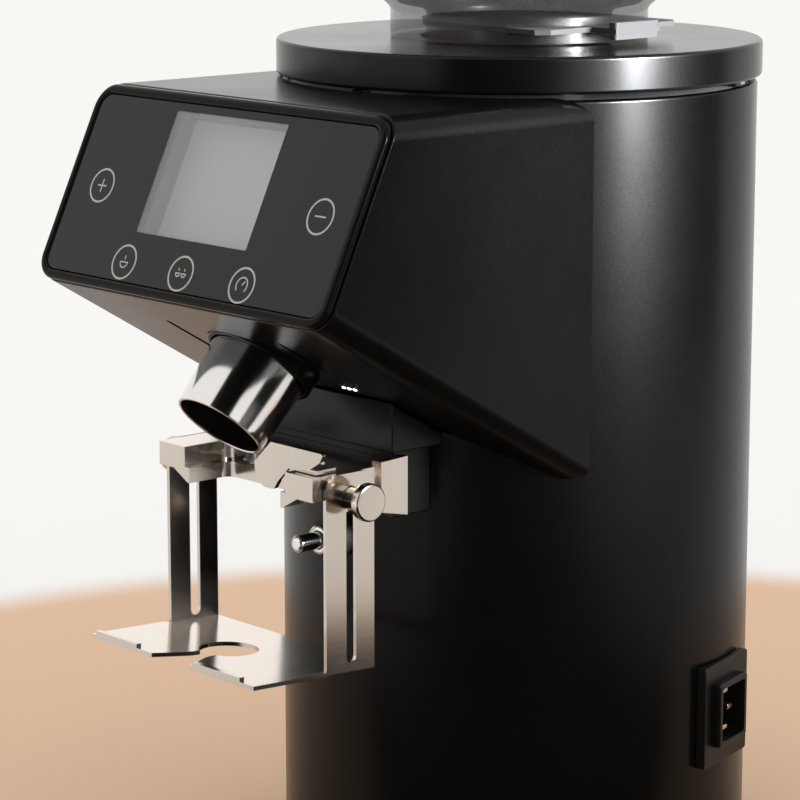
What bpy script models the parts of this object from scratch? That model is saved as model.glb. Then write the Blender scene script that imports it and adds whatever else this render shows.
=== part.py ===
"""Burr coffee grinder with a round column, a slanted touch-panel head and a portafilter fork.

Metres, +Z up. The origin is the middle of the foot pad's underside, on the column's axis.
The front of the machine faces -Y and its right flank faces +X.
"""
import math

import bmesh
import bpy
from mathutils import Matrix, Vector

# ---- driving dimensions ---------------------------------------------------------------------
GAP = 0.0003                 # clearance between neighbouring pieces
ROUND_STEPS = 40             # sides of the large turned pieces
MEDIUM_STEPS = 20
SMALL_STEPS = 12

# column and base
COLUMN_R = 0.0870
COLUMN_WALL = 0.0025
COLUMN_TOP = 0.2910
COLUMN_BORE_R = COLUMN_R - COLUMN_WALL
FOOT_R = 0.0800
FOOT_T = 0.0030
BASE_R = COLUMN_BORE_R - 0.0005
BASE_BOTTOM = FOOT_T + GAP
BASE_T = 0.0050
BASE_LEDGE_Z = BASE_BOTTOM + BASE_T + GAP
LEDGE_T = 0.0035
LEDGE_R = 0.0770
TOP_LEDGE_Z = 0.2790
SCREW_CIRCLE_R = 0.0808
WINDOW_HALF_W = 0.0600
WINDOW_Z = (0.1880, 0.2750)

# head
HEAD_TOP = 0.2920
HEAD_HALF_W = 0.0778
HEAD_WALL = 0.0025
HEAD_CORNER_R = 0.0085
PANEL_TOP_Y = -0.1320
PANEL_BOTTOM = (-0.1632, 0.2260)          # Y and Z of the panel's lower edge
UNDERSIDE_SLOPE = math.radians(30.3)      # the underside falls towards the column
BEZEL_T = 0.0030
BEZEL_RIM = 0.0034
GLASS_T = 0.0030
GLASS_RECESS = 0.0008
DISPLAY_SIZE = (0.0660, 0.0500, 0.0080)
DISPLAY_OFFSET = (-0.0012, 0.0072)        # display centre from the panel's centre, right and up
BOARD_SIZE = (0.1200, 0.0540, 0.0016)
BOARD_DEPTH = 0.0180
UNDERSIDE_SLOT = (0.0016, 0.0230)         # width and length
UNDERSIDE_SLOT_X = 0.0303
UNDERSIDE_SLOT_MID = 0.0380               # from the panel's lower edge, down the underside
LIGHT_AT = (0.0250, 0.0678)               # X, and distance from the panel's lower edge
LIGHT_SIZE = (0.0090, 0.0070, 0.0040)

# chute and outlet spout
SPOUT_TILT = math.radians(42.4)           # the spout leans forward by this much from straight down
SPOUT_MOUTH = (0.0, -0.1423, 0.1800)
SPOUT_MOUTH_R = 0.0166
SPOUT_R = 0.0184
SPOUT_TAPER_L = 0.0300
SPOUT_L = 0.0580
SPOUT_WALL = 0.0012
SPOUT_RING_R = 0.0205
SPOUT_RING = (0.0255, 0.0370)             # from the mouth, along the spout
CHUTE_R = 0.0135
CHUTE_BORE_R = 0.0120
CHUTE_Z = 0.2470
CHUTE_END = 0.0540                        # from the mouth, along the spout

# fork and tray
FORK_FRONT = -0.1360
FORK_BACK = -0.0960
FORK_HALF_W = 0.0418
FORK_Z = (0.1591, 0.1675)
FORK_POCKET = (0.0274, -0.1155, 0.1603)   # half width, back Y and floor Z of the upper step
FORK_THROAT = (0.0249, -0.1175)           # half width and back Y of the lower step
FORK_SKIRT_Z = 0.1548
FORK_BOSS_R = 0.0052
ARM_OUTER = 0.0436
ARM_T = 0.0048
ARM_YZ = ((-0.1065, 0.1515), (-0.0943, 0.1489), (-0.0943, 0.1697), (-0.1065, 0.1691))
BRACKET_HALF_W = 0.0420
BRACKET_FRONT = -0.1000
BRACKET_SHELF_Z = 0.1710
BRACKET_CORE = (0.0380, -0.0957, 0.1470)  # half width, front Y and bottom Z
TRAY_T = 0.0015
TRAY_OUTER = ARM_OUTER
PLATE_Y = (-0.1315, -0.1098)
PLATE_TOP = 0.1676
TRAY_Z = 0.0998                           # tray's upper face at the plates' front edge
TRAY_FRONT = -0.1650
TRAY_TILT = math.radians(2.7)             # the tray rises towards its front edge
TRAY_LIP = 0.0014
TRAY_LIPS_X = ((-0.0425, -0.0190), (0.0118, 0.0376))
TRAY_HALF_W = 0.0450
PLATE_SLOT = (0.0044, 0.1030, 0.1610)     # width, lower and upper end
NOTCH_R = 0.0105
NOTCH_Y = -0.1390
NOTCH_NECK = 0.0042
NOTCH_MOUTH = 0.0114
CLAMP_YZ = (-0.1203, 0.1588)
CLAMP_HEAD_R = 0.0066
CLAMP_HEAD_X = (0.0507, 0.0542)
CLAMP_SHANK_R = 0.0040
CLAMP_THREAD_R = 0.0019
CLAMP_THREAD_L = 0.0070

# start button
BUTTON_Z = 0.1325
BUTTON_R = 0.0031
BUTTON_TIP = -0.1084
BUTTON_BACK = -0.0985
PLUNGER_R = 0.0014
PLUNGER_BACK = -0.0830
BUSH_R = 0.0052
BUSH_Y = (-0.0982, -0.0955)
BUSH_BARREL_R = 0.0043
BOSS_R = 0.0074

# electrics
CAPACITOR_R = 0.0110
CAPACITOR_Z = (0.0700, 0.1320)
CAPACITOR_AZIMUTH = math.radians(215)
CAPACITOR_REACH = 0.0715                  # from the column's axis
POWER_BOARD_HALF_W = 0.0340
POWER_BOARD_Y = (0.0690, 0.0706)
POWER_BOARD_Z = (0.0950, 0.1950)
SWITCH_HALF = (0.0065, 0.0100)            # half width and half height
SWITCH_Y = (-0.0794, -0.0660)

# power inlet
INLET_AZIMUTH = math.radians(106.0)       # from the front towards the right flank
INLET_Z = 0.0645
INLET_FLANGE = (0.0340, 0.0380)
INLET_FLANGE_R = 0.0893
INLET_BODY = (0.0220, 0.0240)
INLET_FACE_R = 0.0925
INLET_BACK_R = 0.0630
INLET_POCKET = (0.0180, 0.0200, 0.0150)
PIN_SIZE = (0.0040, 0.0020)

# motor and drive
SHAFT_R = 0.0080
SHAFT_Z = (0.0220, 0.2580)
MOTOR_R = 0.0600
STATOR_Z = (0.0850, 0.1450)
STATOR_BORE_R = 0.0305
ROTOR_R = 0.0298
WINDING_R = (0.0345, 0.0520)
WINDING_H = 0.0190
BELL_BORE_R = 0.0535
LOWER_BELL_Z = 0.0500
UPPER_BELL_Z = 0.1780
BELL_T = 0.0055
BEARING_R = 0.0170
BEARING_H = 0.0095
HUB_R = 0.0215
STUD_R = 0.0040
STUD_CIRCLE_R = 0.0500
STUD_ANGLES = (90, 210, 330)                # degrees round the motor
FAN_Z = (0.0240, 0.0400)
FAN_R = 0.0420
FAN_BLADES = 8
FAN_HUB_R = 0.0120
FAN_PLATE_T = 0.0020
FAN_BLADE_T = 0.0016

# grinding chamber and burrs
CHAMBER_R = 0.0620
CHAMBER_Z = (0.2280, 0.2895)
CHAMBER_FLOOR = 0.2340
CHAMBER_BORE_R = 0.0445
THREAD_R = 0.0463
THREAD_Z = 0.2580
FLANGE_R = 0.0840
FLANGE_Z = 0.2830
BURR_R = 0.0320
BURR_BORE_R = 0.0200
BURR_GROOVES = 12
BURR_GROOVE = (0.0022, 0.0014, 0.0040)    # width, depth and offset from the radius
NUT_R = 0.0130
NUT_H = 0.0060
CARRIER_HUB = (0.0145, 0.0030)            # radius, and height above the carrier
SWEEPER = (0.0355, 0.0425, 0.0050, 0.0070)  # inner and outer reach, width, height
LOWER_BURR_Z = (0.2463, 0.2543)
UPPER_BURR_Z = (0.2549, 0.2630)
CARRIER_R = 0.0430
CARRIER_Z = (0.2365, 0.2460)
UPPER_CARRIER_Z = (0.2633, 0.2830)

# collar, hopper, gate and lid
COLLAR_R = 0.0887
COLLAR_Z = (0.2930, 0.3060)
COLLAR_HOLE_R = 0.0364
COLLAR_SKIRT = (0.0435, 0.2846)
HOPPER_R = 0.0820
HOPPER_WALL = 0.0022
HOPPER_NECK_R = 0.0360
HOPPER_NECK_Z = 0.2920
HOPPER_BASE = (0.0470, 0.3064, 0.3170)
HOPPER_SHOULDER_Z = 0.3480
HOPPER_TOP = 0.4080
THROAT_R = 0.0338
GATE_SLOT_Z = (0.3105, 0.3129)
GATE_HALF_W = 0.0352
GATE_T = 0.0018
GATE_NECK_X = 0.0480
GATE_TAB = (0.0560, 0.0600, 0.0110, 0.0030)   # grip's inner and outer X, half width, half height
LID_R = 0.0835
LID_TOP = 0.4145
KNOB_R = 0.0130
KNOB_TOP = 0.4270

SPOUT_AXIS = Vector((0.0, math.sin(SPOUT_TILT), math.cos(SPOUT_TILT)))       # from the mouth upwards
PANEL_RISE = math.atan2(HEAD_TOP - PANEL_BOTTOM[1], PANEL_TOP_Y - PANEL_BOTTOM[0])
PANEL_LENGTH = math.hypot(HEAD_TOP - PANEL_BOTTOM[1], PANEL_TOP_Y - PANEL_BOTTOM[0])


# ---- scene helpers --------------------------------------------------------------------------
def clear_scene():
    for old in list(bpy.data.objects):
        bpy.data.objects.remove(old, do_unlink=True)


def new_collection(name):
    made = bpy.data.collections.new(name)
    bpy.context.scene.collection.children.link(made)
    return made


def material(name, colour, roughness, metallic):
    made = bpy.data.materials.new(name)
    made.use_nodes = True
    shader = made.node_tree.nodes["Principled BSDF"]
    shader.inputs["Base Color"].default_value = (*colour, 1.0)
    shader.inputs["Roughness"].default_value = roughness
    shader.inputs["Metallic"].default_value = metallic
    return made


clear_scene()
PARTS = new_collection("burr_coffee_grinder")
CUTTERS = new_collection("cutters")

BLACK_PAINT = ("black_paint", (0.012, 0.012, 0.012), 0.42, 0.0)
BLACK_PLASTIC = ("black_plastic", (0.02, 0.02, 0.02), 0.5, 0.0)
SMOKED_PLASTIC = ("smoked_plastic", (0.05, 0.045, 0.04), 0.12, 0.0)
GLASS = ("panel_glass", (0.045, 0.043, 0.04), 0.15, 0.0)
STEEL = ("polished_steel", (0.62, 0.58, 0.54), 0.2, 1.0)
CHROME = ("chrome", (0.8, 0.78, 0.76), 0.06, 1.0)
ALUMINIUM = ("aluminium", (0.6, 0.61, 0.62), 0.4, 1.0)
IRON = ("laminated_iron", (0.25, 0.25, 0.26), 0.5, 1.0)
COPPER = ("copper_winding", (0.5, 0.2, 0.08), 0.4, 1.0)
BRASS = ("brass", (0.7, 0.5, 0.22), 0.3, 1.0)
RUBBER = ("rubber", (0.015, 0.015, 0.015), 0.8, 0.0)
BOARD = ("circuit_board", (0.02, 0.12, 0.05), 0.5, 0.0)


def place(obj, collection):
    for home in list(obj.users_collection):
        home.objects.unlink(obj)
    collection.objects.link(obj)
    return obj


def finish(obj, name, look):
    """Name a part, give it a material of its own and smooth its round faces."""
    obj.name = name
    obj.data.name = name
    obj.data.materials.clear()
    obj.data.materials.append(material(name + "_" + look[0], *look[1:]))
    obj.data.shade_smooth()
    obj.data.set_sharp_from_angle(angle=math.radians(35))
    return place(obj, PARTS)


def hide_as_tool(obj):
    obj.hide_render = True
    obj.display_type = "WIRE"
    return place(obj, CUTTERS)


def mesh_object(mesh, matrix=None):
    obj = bpy.data.objects.new(mesh.name, mesh)
    PARTS.objects.link(obj)
    if matrix is not None:
        obj.matrix_world = matrix
    return obj


def boolean(obj, tool, operation):
    step = obj.modifiers.new(operation.lower(), "BOOLEAN")
    step.operation = operation
    step.solver = "EXACT"
    step.object = hide_as_tool(tool)
    return obj


def cut(obj, *tools):
    for tool in tools:
        boolean(obj, tool, "DIFFERENCE")
    return obj


def join(obj, *tools):
    for tool in tools:
        boolean(obj, tool, "UNION")
    return obj


def soften(obj, width, segments=2, angle=40):
    step = obj.modifiers.new("soft edges", "BEVEL")
    step.width = width
    step.segments = segments
    step.limit_method = "ANGLE"
    step.angle_limit = math.radians(angle)
    return obj


# ---- shape helpers --------------------------------------------------------------------------
def block(x, y, z, matrix=None):
    """A box between two values on each axis."""
    lows = Vector((x[0], y[0], z[0]))
    highs = Vector((x[1], y[1], z[1]))
    bpy.ops.mesh.primitive_cube_add(size=1.0)
    obj = bpy.context.object
    obj.data.transform(Matrix.LocRotScale((lows + highs) / 2, None, highs - lows))
    if matrix is not None:
        obj.matrix_world = matrix
    return obj


def rod(radius, start, end, steps=SMALL_STEPS):
    """A cylinder between two points."""
    start, end = Vector(start), Vector(end)
    bpy.ops.mesh.primitive_cylinder_add(vertices=steps, radius=radius, depth=(end - start).length)
    obj = bpy.context.object
    turn = (end - start).to_track_quat("Z", "X")
    obj.matrix_world = Matrix.LocRotScale((start + end) / 2, turn, None)
    return obj


def turned(profile, steps=MEDIUM_STEPS, matrix=None):
    """Turn a profile of (radius, height) about Z. It runs down the outer side.

    A profile that starts and ends on the axis gives a solid piece, any other gives a ring.
    """
    mesh = bpy.data.meshes.new("turned")
    shape = bmesh.new()
    corners = [shape.verts.new((radius, 0.0, height)) for radius, height in profile]
    for one, other in zip(corners, corners[1:]):
        shape.edges.new((one, other))
    if profile[0][0] > 0.0:
        shape.edges.new((corners[-1], corners[0]))
    shape.to_mesh(mesh)
    shape.free()
    obj = mesh_object(mesh, matrix)
    step = obj.modifiers.new("turn", "SCREW")
    step.steps = steps
    step.render_steps = steps
    step.use_merge_vertices = True
    step.merge_threshold = 0.00001
    return obj


def ring(outer, inner, low, high, steps=MEDIUM_STEPS):
    return turned([(inner, high), (outer, high), (outer, low), (inner, low)], steps)


def curve_to_mesh(curve_object):
    """Turn a curve into a closed mesh object, welding its caps."""
    matrix = curve_object.matrix_world.copy()
    evaluated = curve_object.evaluated_get(bpy.context.evaluated_depsgraph_get())
    mesh = bpy.data.meshes.new_from_object(evaluated)
    bpy.data.objects.remove(curve_object, do_unlink=True)
    shape = bmesh.new()
    shape.from_mesh(mesh)
    bmesh.ops.remove_doubles(shape, verts=shape.verts, dist=0.000005)
    bmesh.ops.recalc_face_normals(shape, faces=shape.faces)
    shape.to_mesh(mesh)
    shape.free()
    return mesh_object(mesh, matrix)


def plate(outline, thickness, matrix):
    """A flat outline in its own XY plane, extruded half its thickness to each side."""
    curve = bpy.data.curves.new("outline", "CURVE")
    curve.dimensions = "2D"
    curve.fill_mode = "BOTH"
    curve.extrude = thickness / 2
    spline = curve.splines.new("POLY")
    spline.points.add(len(outline) - 1)
    for point, (x, y) in zip(spline.points, outline):
        point.co = (x, y, 0.0, 1.0)
    spline.use_cyclic_u = True
    obj = bpy.data.objects.new("outline", curve)
    PARTS.objects.link(obj)
    obj.matrix_world = matrix
    bpy.context.view_layer.update()
    return curve_to_mesh(obj)


def side_plate(outline, x):
    """A plate whose outline is given as (Y, Z) points, between two X values."""
    stand = Matrix(((0, 0, 1, 0), (1, 0, 0, 0), (0, 1, 0, 0), (0, 0, 0, 1)))
    return plate(outline, x[1] - x[0], Matrix.Translation(((x[0] + x[1]) / 2, 0, 0)) @ stand)


def arc(centre, radius, start, end, steps):
    """Points on an arc, angles in degrees."""
    spread = [math.radians(start + (end - start) * step / steps) for step in range(steps + 1)]
    return [(centre[0] + radius * math.cos(a), centre[1] + radius * math.sin(a)) for a in spread]


def rounded_rectangle(width, height, radius, steps=5):
    x, y = width / 2 - radius, height / 2 - radius
    corners = [((x, y), 0), ((-x, y), 90), ((-x, -y), 180), ((x, -y), 270)]
    return [point for centre, turn in corners for point in arc(centre, radius, turn, turn + 90, steps)]


def around(angle):
    return Matrix.Rotation(angle, 4, "Z")


# ---- reference frames of the slanted faces --------------------------------------------------
def panel_frame(depth=0.0):
    """Frame on the panel: X right, Y up the panel, Z out of it. Depth is measured inwards."""
    middle = Vector((0.0, (PANEL_TOP_Y + PANEL_BOTTOM[0]) / 2, (HEAD_TOP + PANEL_BOTTOM[1]) / 2))
    turn = Matrix.Rotation(PANEL_RISE, 4, "X")
    return Matrix.Translation(middle) @ turn @ Matrix.Translation((0, 0, -depth))


def underside_frame(x, distance):
    """Frame on the head's underside: X right, Y down the slope, Z out of the head."""
    start = Vector((x, *PANEL_BOTTOM))
    down_slope = Vector((0, math.cos(UNDERSIDE_SLOPE), -math.sin(UNDERSIDE_SLOPE)))
    turn = Matrix.Rotation(-UNDERSIDE_SLOPE, 4, "X") @ Matrix.Rotation(math.pi, 4, "Y")
    return Matrix.Translation(start + down_slope * distance) @ turn


def spout_frame():
    """Frame at the middle of the spout's mouth, with Z up the spout."""
    return Matrix.Translation(SPOUT_MOUTH) @ Matrix.Rotation(-SPOUT_TILT, 4, "X")


def on_spout(distance):
    return Vector(SPOUT_MOUTH) + SPOUT_AXIS * distance


# ---- base and column ------------------------------------------------------------------------
def screw_places(count, start):
    """Points on the screw circle that the base and top ledges share."""
    angles = [start + 2 * math.pi * index / count for index in range(count)]
    return [(SCREW_CIRCLE_R * math.cos(angle), SCREW_CIRCLE_R * math.sin(angle)) for angle in angles]


BASE_SCREWS = screw_places(3, math.radians(33))
FLANGE_SCREWS = screw_places(3, math.radians(33))
SCREW_SHANK_R = 0.0020
SCREW_HOLE_R = 0.0024
SCREW_HEAD_R = 0.0034
SCREW_HEAD_H = 0.0022


def socket_screw(x, y, head_low, tip, head_up):
    """A screw along Z: its head's bearing face at head_low, its end at tip."""
    direction = 1 if head_up else -1
    top = head_low + direction * SCREW_HEAD_H
    profile = [
        (0.0, top),
        (SCREW_HEAD_R, top),
        (SCREW_HEAD_R, head_low),
        (SCREW_SHANK_R, head_low),
        (SCREW_SHANK_R, tip),
        (0.0, tip),
    ]
    if not head_up:
        profile.reverse()
    return turned(profile, SMALL_STEPS, Matrix.Translation((x, y, 0)))


def make_base():
    chamfer = 0.0008
    sole = [(0, FOOT_T), (FOOT_R, FOOT_T), (FOOT_R, chamfer), (FOOT_R - chamfer, 0), (0, 0)]
    foot = turned(sole, ROUND_STEPS)
    finish(foot, "foot_pad", RUBBER)
    top = BASE_BOTTOM + BASE_T
    base = turned([(0, top), (BASE_R, top), (BASE_R, BASE_BOTTOM), (0, BASE_BOTTOM)], ROUND_STEPS)
    pocket_top = BASE_BOTTOM + SCREW_HEAD_H + 2 * GAP
    for index, (x, y) in enumerate(BASE_SCREWS):
        cut(base, rod(SCREW_HOLE_R, (x, y, 0), (x, y, 0.02)))
        cut(base, rod(SCREW_HEAD_R + GAP, (x, y, -0.001), (x, y, pocket_top), 16))
        screw = socket_screw(x, y, pocket_top - GAP, BASE_LEDGE_Z + LEDGE_T, False)
        finish(screw, f"base_screw_{index + 1}", STEEL)
    finish(base, "base_plate", STEEL)


def make_column():
    outer, bore = COLUMN_R, COLUMN_BORE_R
    chamfer = 0.0010
    top_ledge = TOP_LEDGE_Z + LEDGE_T
    base_ledge = BASE_LEDGE_Z + LEDGE_T
    shell = turned([
        (bore, COLUMN_TOP),
        (outer - chamfer, COLUMN_TOP),
        (outer, COLUMN_TOP - chamfer),
        (outer, BASE_BOTTOM + chamfer),
        (outer - chamfer, BASE_BOTTOM),
        (bore, BASE_BOTTOM),
        (bore, BASE_LEDGE_Z),
        (LEDGE_R, BASE_LEDGE_Z),
        (LEDGE_R, base_ledge),
        (bore, base_ledge),
        (bore, TOP_LEDGE_Z),
        (LEDGE_R, TOP_LEDGE_Z),
        (LEDGE_R, top_ledge),
        (bore, top_ledge),
    ], ROUND_STEPS)
    cut(shell, block((-WINDOW_HALF_W, WINDOW_HALF_W), (-0.1, -0.05), WINDOW_Z))
    inlet_x = INLET_BODY[0] / 2 + GAP
    inlet_z = INLET_BODY[1] / 2 + GAP
    cut(shell, block((-inlet_x, inlet_x), (-0.1, -0.07), (INLET_Z - inlet_z, INLET_Z + inlet_z),
                     around(INLET_AZIMUTH)))
    cut(shell, rod(BUSH_BARREL_R + GAP, (0, -0.1, BUTTON_Z), (0, -0.07, BUTTON_Z)))
    for x, y in BASE_SCREWS:
        cut(shell, rod(SCREW_HOLE_R, (x, y, BASE_LEDGE_Z - 0.002), (x, y, base_ledge + 0.002)))
    for x, y in FLANGE_SCREWS:
        cut(shell, rod(SCREW_HOLE_R, (x, y, TOP_LEDGE_Z - 0.002), (x, y, top_ledge + 0.002)))
    finish(shell, "column_shell", BLACK_PAINT)


# ---- head -----------------------------------------------------------------------------------
def head_block(inset, front, back=-0.0390):
    """The head's wedge with its walls moved inwards by inset and its front by front.

    Its four long edges are rounded, and a negative front reaches out past the panel.
    """
    normal = Vector((math.sin(PANEL_RISE), -math.cos(PANEL_RISE)))      # inwards, as (Y, Z)
    top = HEAD_TOP - inset
    low_y, low_z = PANEL_BOTTOM
    panel_y = low_y + normal[0] * front
    panel_z = low_z + normal[1] * front
    floor_rise = inset / math.cos(UNDERSIDE_SLOPE)
    slope = math.tan(UNDERSIDE_SLOPE)
    lean = 1 / math.tan(PANEL_RISE)

    def on_panel(z):
        return panel_y + (z - panel_z) * lean

    # where the moved panel plane meets the moved underside
    low = (low_z + floor_rise - slope * (panel_y - low_y) + slope * lean * panel_z) / (1 + slope * lean)
    outline = [
        (on_panel(top), top),
        (on_panel(low), low),
        (back, low_z + floor_rise - slope * (back - low_y)),
        (back, top),
    ]
    half = HEAD_HALF_W - inset
    wedge = side_plate(outline, (-half, half))
    shape = bmesh.new()
    shape.from_mesh(wedge.data)
    bmesh.ops.dissolve_limit(shape, angle_limit=0.01, verts=shape.verts, edges=shape.edges)
    long_edges = []
    for edge in shape.edges:
        ends = [wedge.matrix_world @ vertex.co for vertex in edge.verts]
        runs_back = abs(ends[0].x - ends[1].x) < 1e-5 and abs(ends[0].y - ends[1].y) > 0.05
        if runs_back:
            long_edges.append(edge)
    bmesh.ops.bevel(shape, geom=long_edges, offset=HEAD_CORNER_R - inset, offset_type="OFFSET",
                    segments=6, profile=0.5, affect="EDGES")
    shape.to_mesh(wedge.data)
    shape.free()
    return wedge


def column_cutter(radius=COLUMN_R + GAP):
    return rod(radius, (0, 0, -0.01), (0, 0, 0.40), ROUND_STEPS)


def make_head():
    shell = head_block(0.0, BEZEL_T + GAP)
    cut(shell, head_block(HEAD_WALL, -0.01, back=-0.02), column_cutter())
    cut(shell, rod(SPOUT_RING_R + GAP, on_spout(0.010), on_spout(0.045), 32))
    slot_w, slot_l = UNDERSIDE_SLOT
    for side in (-1, 1):
        slot = underside_frame(side * UNDERSIDE_SLOT_X, UNDERSIDE_SLOT_MID)
        cut(shell, block((-slot_w / 2, slot_w / 2), (-slot_l / 2, slot_l / 2), (-0.006, 0.006), slot))
    light = underside_frame(*LIGHT_AT)
    half_x, half_y = LIGHT_SIZE[0] / 2, LIGHT_SIZE[1] / 2
    cut(shell, block((-half_x - GAP, half_x + GAP), (-half_y - GAP, half_y + GAP), (-0.006, 0.006), light))
    finish(shell, "head_shell", BLACK_PAINT)
    lamp = block((-half_x, half_x), (-half_y, half_y), (-LIGHT_SIZE[2], 0), light)
    finish(lamp, "work_light", BLACK_PLASTIC)


def make_panel():
    width = 2 * HEAD_HALF_W
    bezel = head_block(0.0, 0.0)
    # keep only the bezel's own thickness of the wedge
    keep = block((-width, width), (-width, width), (-BEZEL_T, 0.01), panel_frame())
    boolean(bezel, keep, "INTERSECT")
    inset = 2 * BEZEL_RIM
    opening = rounded_rectangle(width - inset, PANEL_LENGTH - inset, HEAD_CORNER_R - BEZEL_RIM)
    cut(bezel, plate(opening, 0.03, panel_frame()))
    finish(bezel, "panel_bezel", BLACK_PAINT)
    inset = 2 * (BEZEL_RIM + GAP)
    pane = rounded_rectangle(width - inset, PANEL_LENGTH - inset, HEAD_CORNER_R - BEZEL_RIM - GAP)
    glass = plate(pane, GLASS_T, panel_frame(GLASS_RECESS + GLASS_T / 2))
    finish(glass, "panel_glass", GLASS)
    behind_glass = GLASS_RECESS + GLASS_T + GAP
    middle = Matrix.Translation((*DISPLAY_OFFSET, 0))
    half = [size / 2 for size in DISPLAY_SIZE]
    display = block((-half[0], half[0]), (-half[1], half[1]), (-half[2], half[2]),
                    panel_frame(behind_glass + half[2]) @ middle)
    finish(display, "display_module", BLACK_PLASTIC)
    half = [size / 2 for size in BOARD_SIZE]
    board = block((-half[0], half[0]), (-half[1], half[1]), (-half[2], half[2]), panel_frame(BOARD_DEPTH))
    finish(board, "control_board", BOARD)


# ---- chute and spout ------------------------------------------------------------------------
def chute_path(steps=6):
    """A smooth path from the chamber's port to inside the spout's upper end."""
    start = Vector((0, -CHAMBER_R - 0.0018, CHUTE_Z))
    end = on_spout(CHUTE_END)
    bend = end + SPOUT_AXIS * ((CHUTE_Z - end.z) / SPOUT_AXIS.z)
    points = []
    for step in range(steps + 1):
        part = step / steps
        points.append(start * (1 - part) ** 2 + bend * (2 * part * (1 - part)) + end * part ** 2)
    return points


def tube_along(points, radius, resolution=2):
    curve = bpy.data.curves.new("tube", "CURVE")
    curve.dimensions = "3D"
    curve.bevel_depth = radius
    curve.bevel_resolution = resolution
    curve.use_fill_caps = True
    spline = curve.splines.new("POLY")
    spline.points.add(len(points) - 1)
    for point, spot in zip(spline.points, points):
        point.co = (*spot, 1.0)
    obj = bpy.data.objects.new("tube", curve)
    PARTS.objects.link(obj)
    bpy.context.view_layer.update()
    return curve_to_mesh(obj)


def stretched(points, reach):
    """The same path, carried on past both of its ends."""
    first = points[0] + (points[0] - points[1]).normalized() * reach
    last = points[-1] + (points[-1] - points[-2]).normalized() * reach
    return [first, *points, last]


def make_outlet():
    path = chute_path()
    chute = tube_along(path, CHUTE_R)
    cut(chute, tube_along(stretched(path, 0.004), CHUTE_BORE_R))
    finish(chute, "chute", ALUMINIUM)
    spout = turned([
        (SPOUT_R - SPOUT_WALL, SPOUT_L),
        (SPOUT_R, SPOUT_L),
        (SPOUT_R, SPOUT_TAPER_L),
        (SPOUT_MOUTH_R, 0),
        (SPOUT_MOUTH_R - SPOUT_WALL, 0),
        (SPOUT_R - SPOUT_WALL, SPOUT_TAPER_L),
    ], 32, spout_frame())
    finish(spout, "outlet_spout", CHROME)
    low, high = SPOUT_RING
    collar = turned([
        (SPOUT_R + GAP, high),
        (SPOUT_RING_R, high),
        (SPOUT_RING_R, low + 0.0008),
        (SPOUT_RING_R - 0.0008, low),
        (SPOUT_R + GAP, low),
    ], 32, spout_frame())
    finish(collar, "spout_collar", BLACK_PLASTIC)


# ---- fork, tray and clamp screws ------------------------------------------------------------
FORK_SCREW_X = 0.0130
FORK_SCREW_Z = 0.1640
FORK_SCREW_HEAD_R = 0.0030
FORK_SCREW_R = 0.0016


def make_bracket():
    slope = math.tan(UNDERSIDE_SLOPE)
    shelf_top = PANEL_BOTTOM[1] - slope * (BRACKET_FRONT - PANEL_BOTTOM[0]) - 0.0006
    back = BRACKET_FRONT + (shelf_top - BRACKET_SHELF_Z - 0.001) / slope
    shelf = [
        (BRACKET_FRONT, shelf_top),
        (BRACKET_FRONT, BRACKET_SHELF_Z),
        (back, BRACKET_SHELF_Z),
        (back, shelf_top - slope * (back - BRACKET_FRONT)),
    ]
    bracket = side_plate(shelf, (-BRACKET_HALF_W, BRACKET_HALF_W))
    half, front, low = BRACKET_CORE
    join(bracket, block((-half, half), (front, -0.070), (low, BRACKET_SHELF_Z + 0.0005)))
    cut(bracket, column_cutter())
    for side in (-1, 1):
        x = side * FORK_SCREW_X
        cut(bracket, rod(FORK_SCREW_R + GAP, (x, -0.12, FORK_SCREW_Z), (x, -0.0895, FORK_SCREW_Z)))
    finish(bracket, "fork_bracket", BLACK_PAINT)


def make_fork():
    fork = block((-FORK_HALF_W, FORK_HALF_W), (FORK_FRONT, FORK_BACK), FORK_Z)
    half, back = FORK_THROAT
    skirt_top = FORK_Z[0] + 0.0004
    skirt_half = half + 0.0010
    low = FORK_SKIRT_Z
    skirt = [(-0.0345, skirt_top), (-skirt_half, low), (skirt_half, low), (0.0345, skirt_top)]
    stand = Matrix.Rotation(math.radians(90), 4, "X")
    depth = back + 0.003 - FORK_FRONT
    at = Matrix.Translation((0, FORK_FRONT + depth / 2, 0))
    join(fork, plate(skirt, depth, at @ stand))
    for side in (-1, 1):
        inner = ARM_OUTER - ARM_T
        join(fork, side_plate(ARM_YZ, sorted((side * inner, side * ARM_OUTER))))
        join(fork, rod(FORK_BOSS_R, (side * (FORK_HALF_W - GAP), *CLAMP_YZ), (side * 0.0350, *CLAMP_YZ)))
    pocket_half, pocket_back, pocket_floor = FORK_POCKET
    cut(fork, block((-pocket_half, pocket_half), (-0.15, pocket_back), (pocket_floor, 0.18)))
    cut(fork, block((-half, half), (-0.15, back), (0.14, 0.18)))
    for side in (-1, 1):
        x = side * FORK_SCREW_X
        cut(fork, rod(FORK_SCREW_R + GAP, (x, -0.13, FORK_SCREW_Z), (x, -0.09, FORK_SCREW_Z)))
        hole = CLAMP_THREAD_R + GAP
        cut(fork, rod(hole, (side * 0.0360, *CLAMP_YZ), (side * 0.0450, *CLAMP_YZ)))
        head = FORK_POCKET[1] - GAP
        screw = rod(FORK_SCREW_R, (x, head - 0.0010, FORK_SCREW_Z), (x, -0.0905, FORK_SCREW_Z))
        join(screw, rod(FORK_SCREW_HEAD_R, (x, head, FORK_SCREW_Z), (x, head - 0.002, FORK_SCREW_Z)))
        finish(screw, f"fork_screw_{1 if side < 0 else 2}", STEEL)
    finish(fork, "portafilter_fork", STEEL)


HOOK_Y = (-0.1348, -0.1330)
HOOK_TOP = 0.1764


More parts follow.
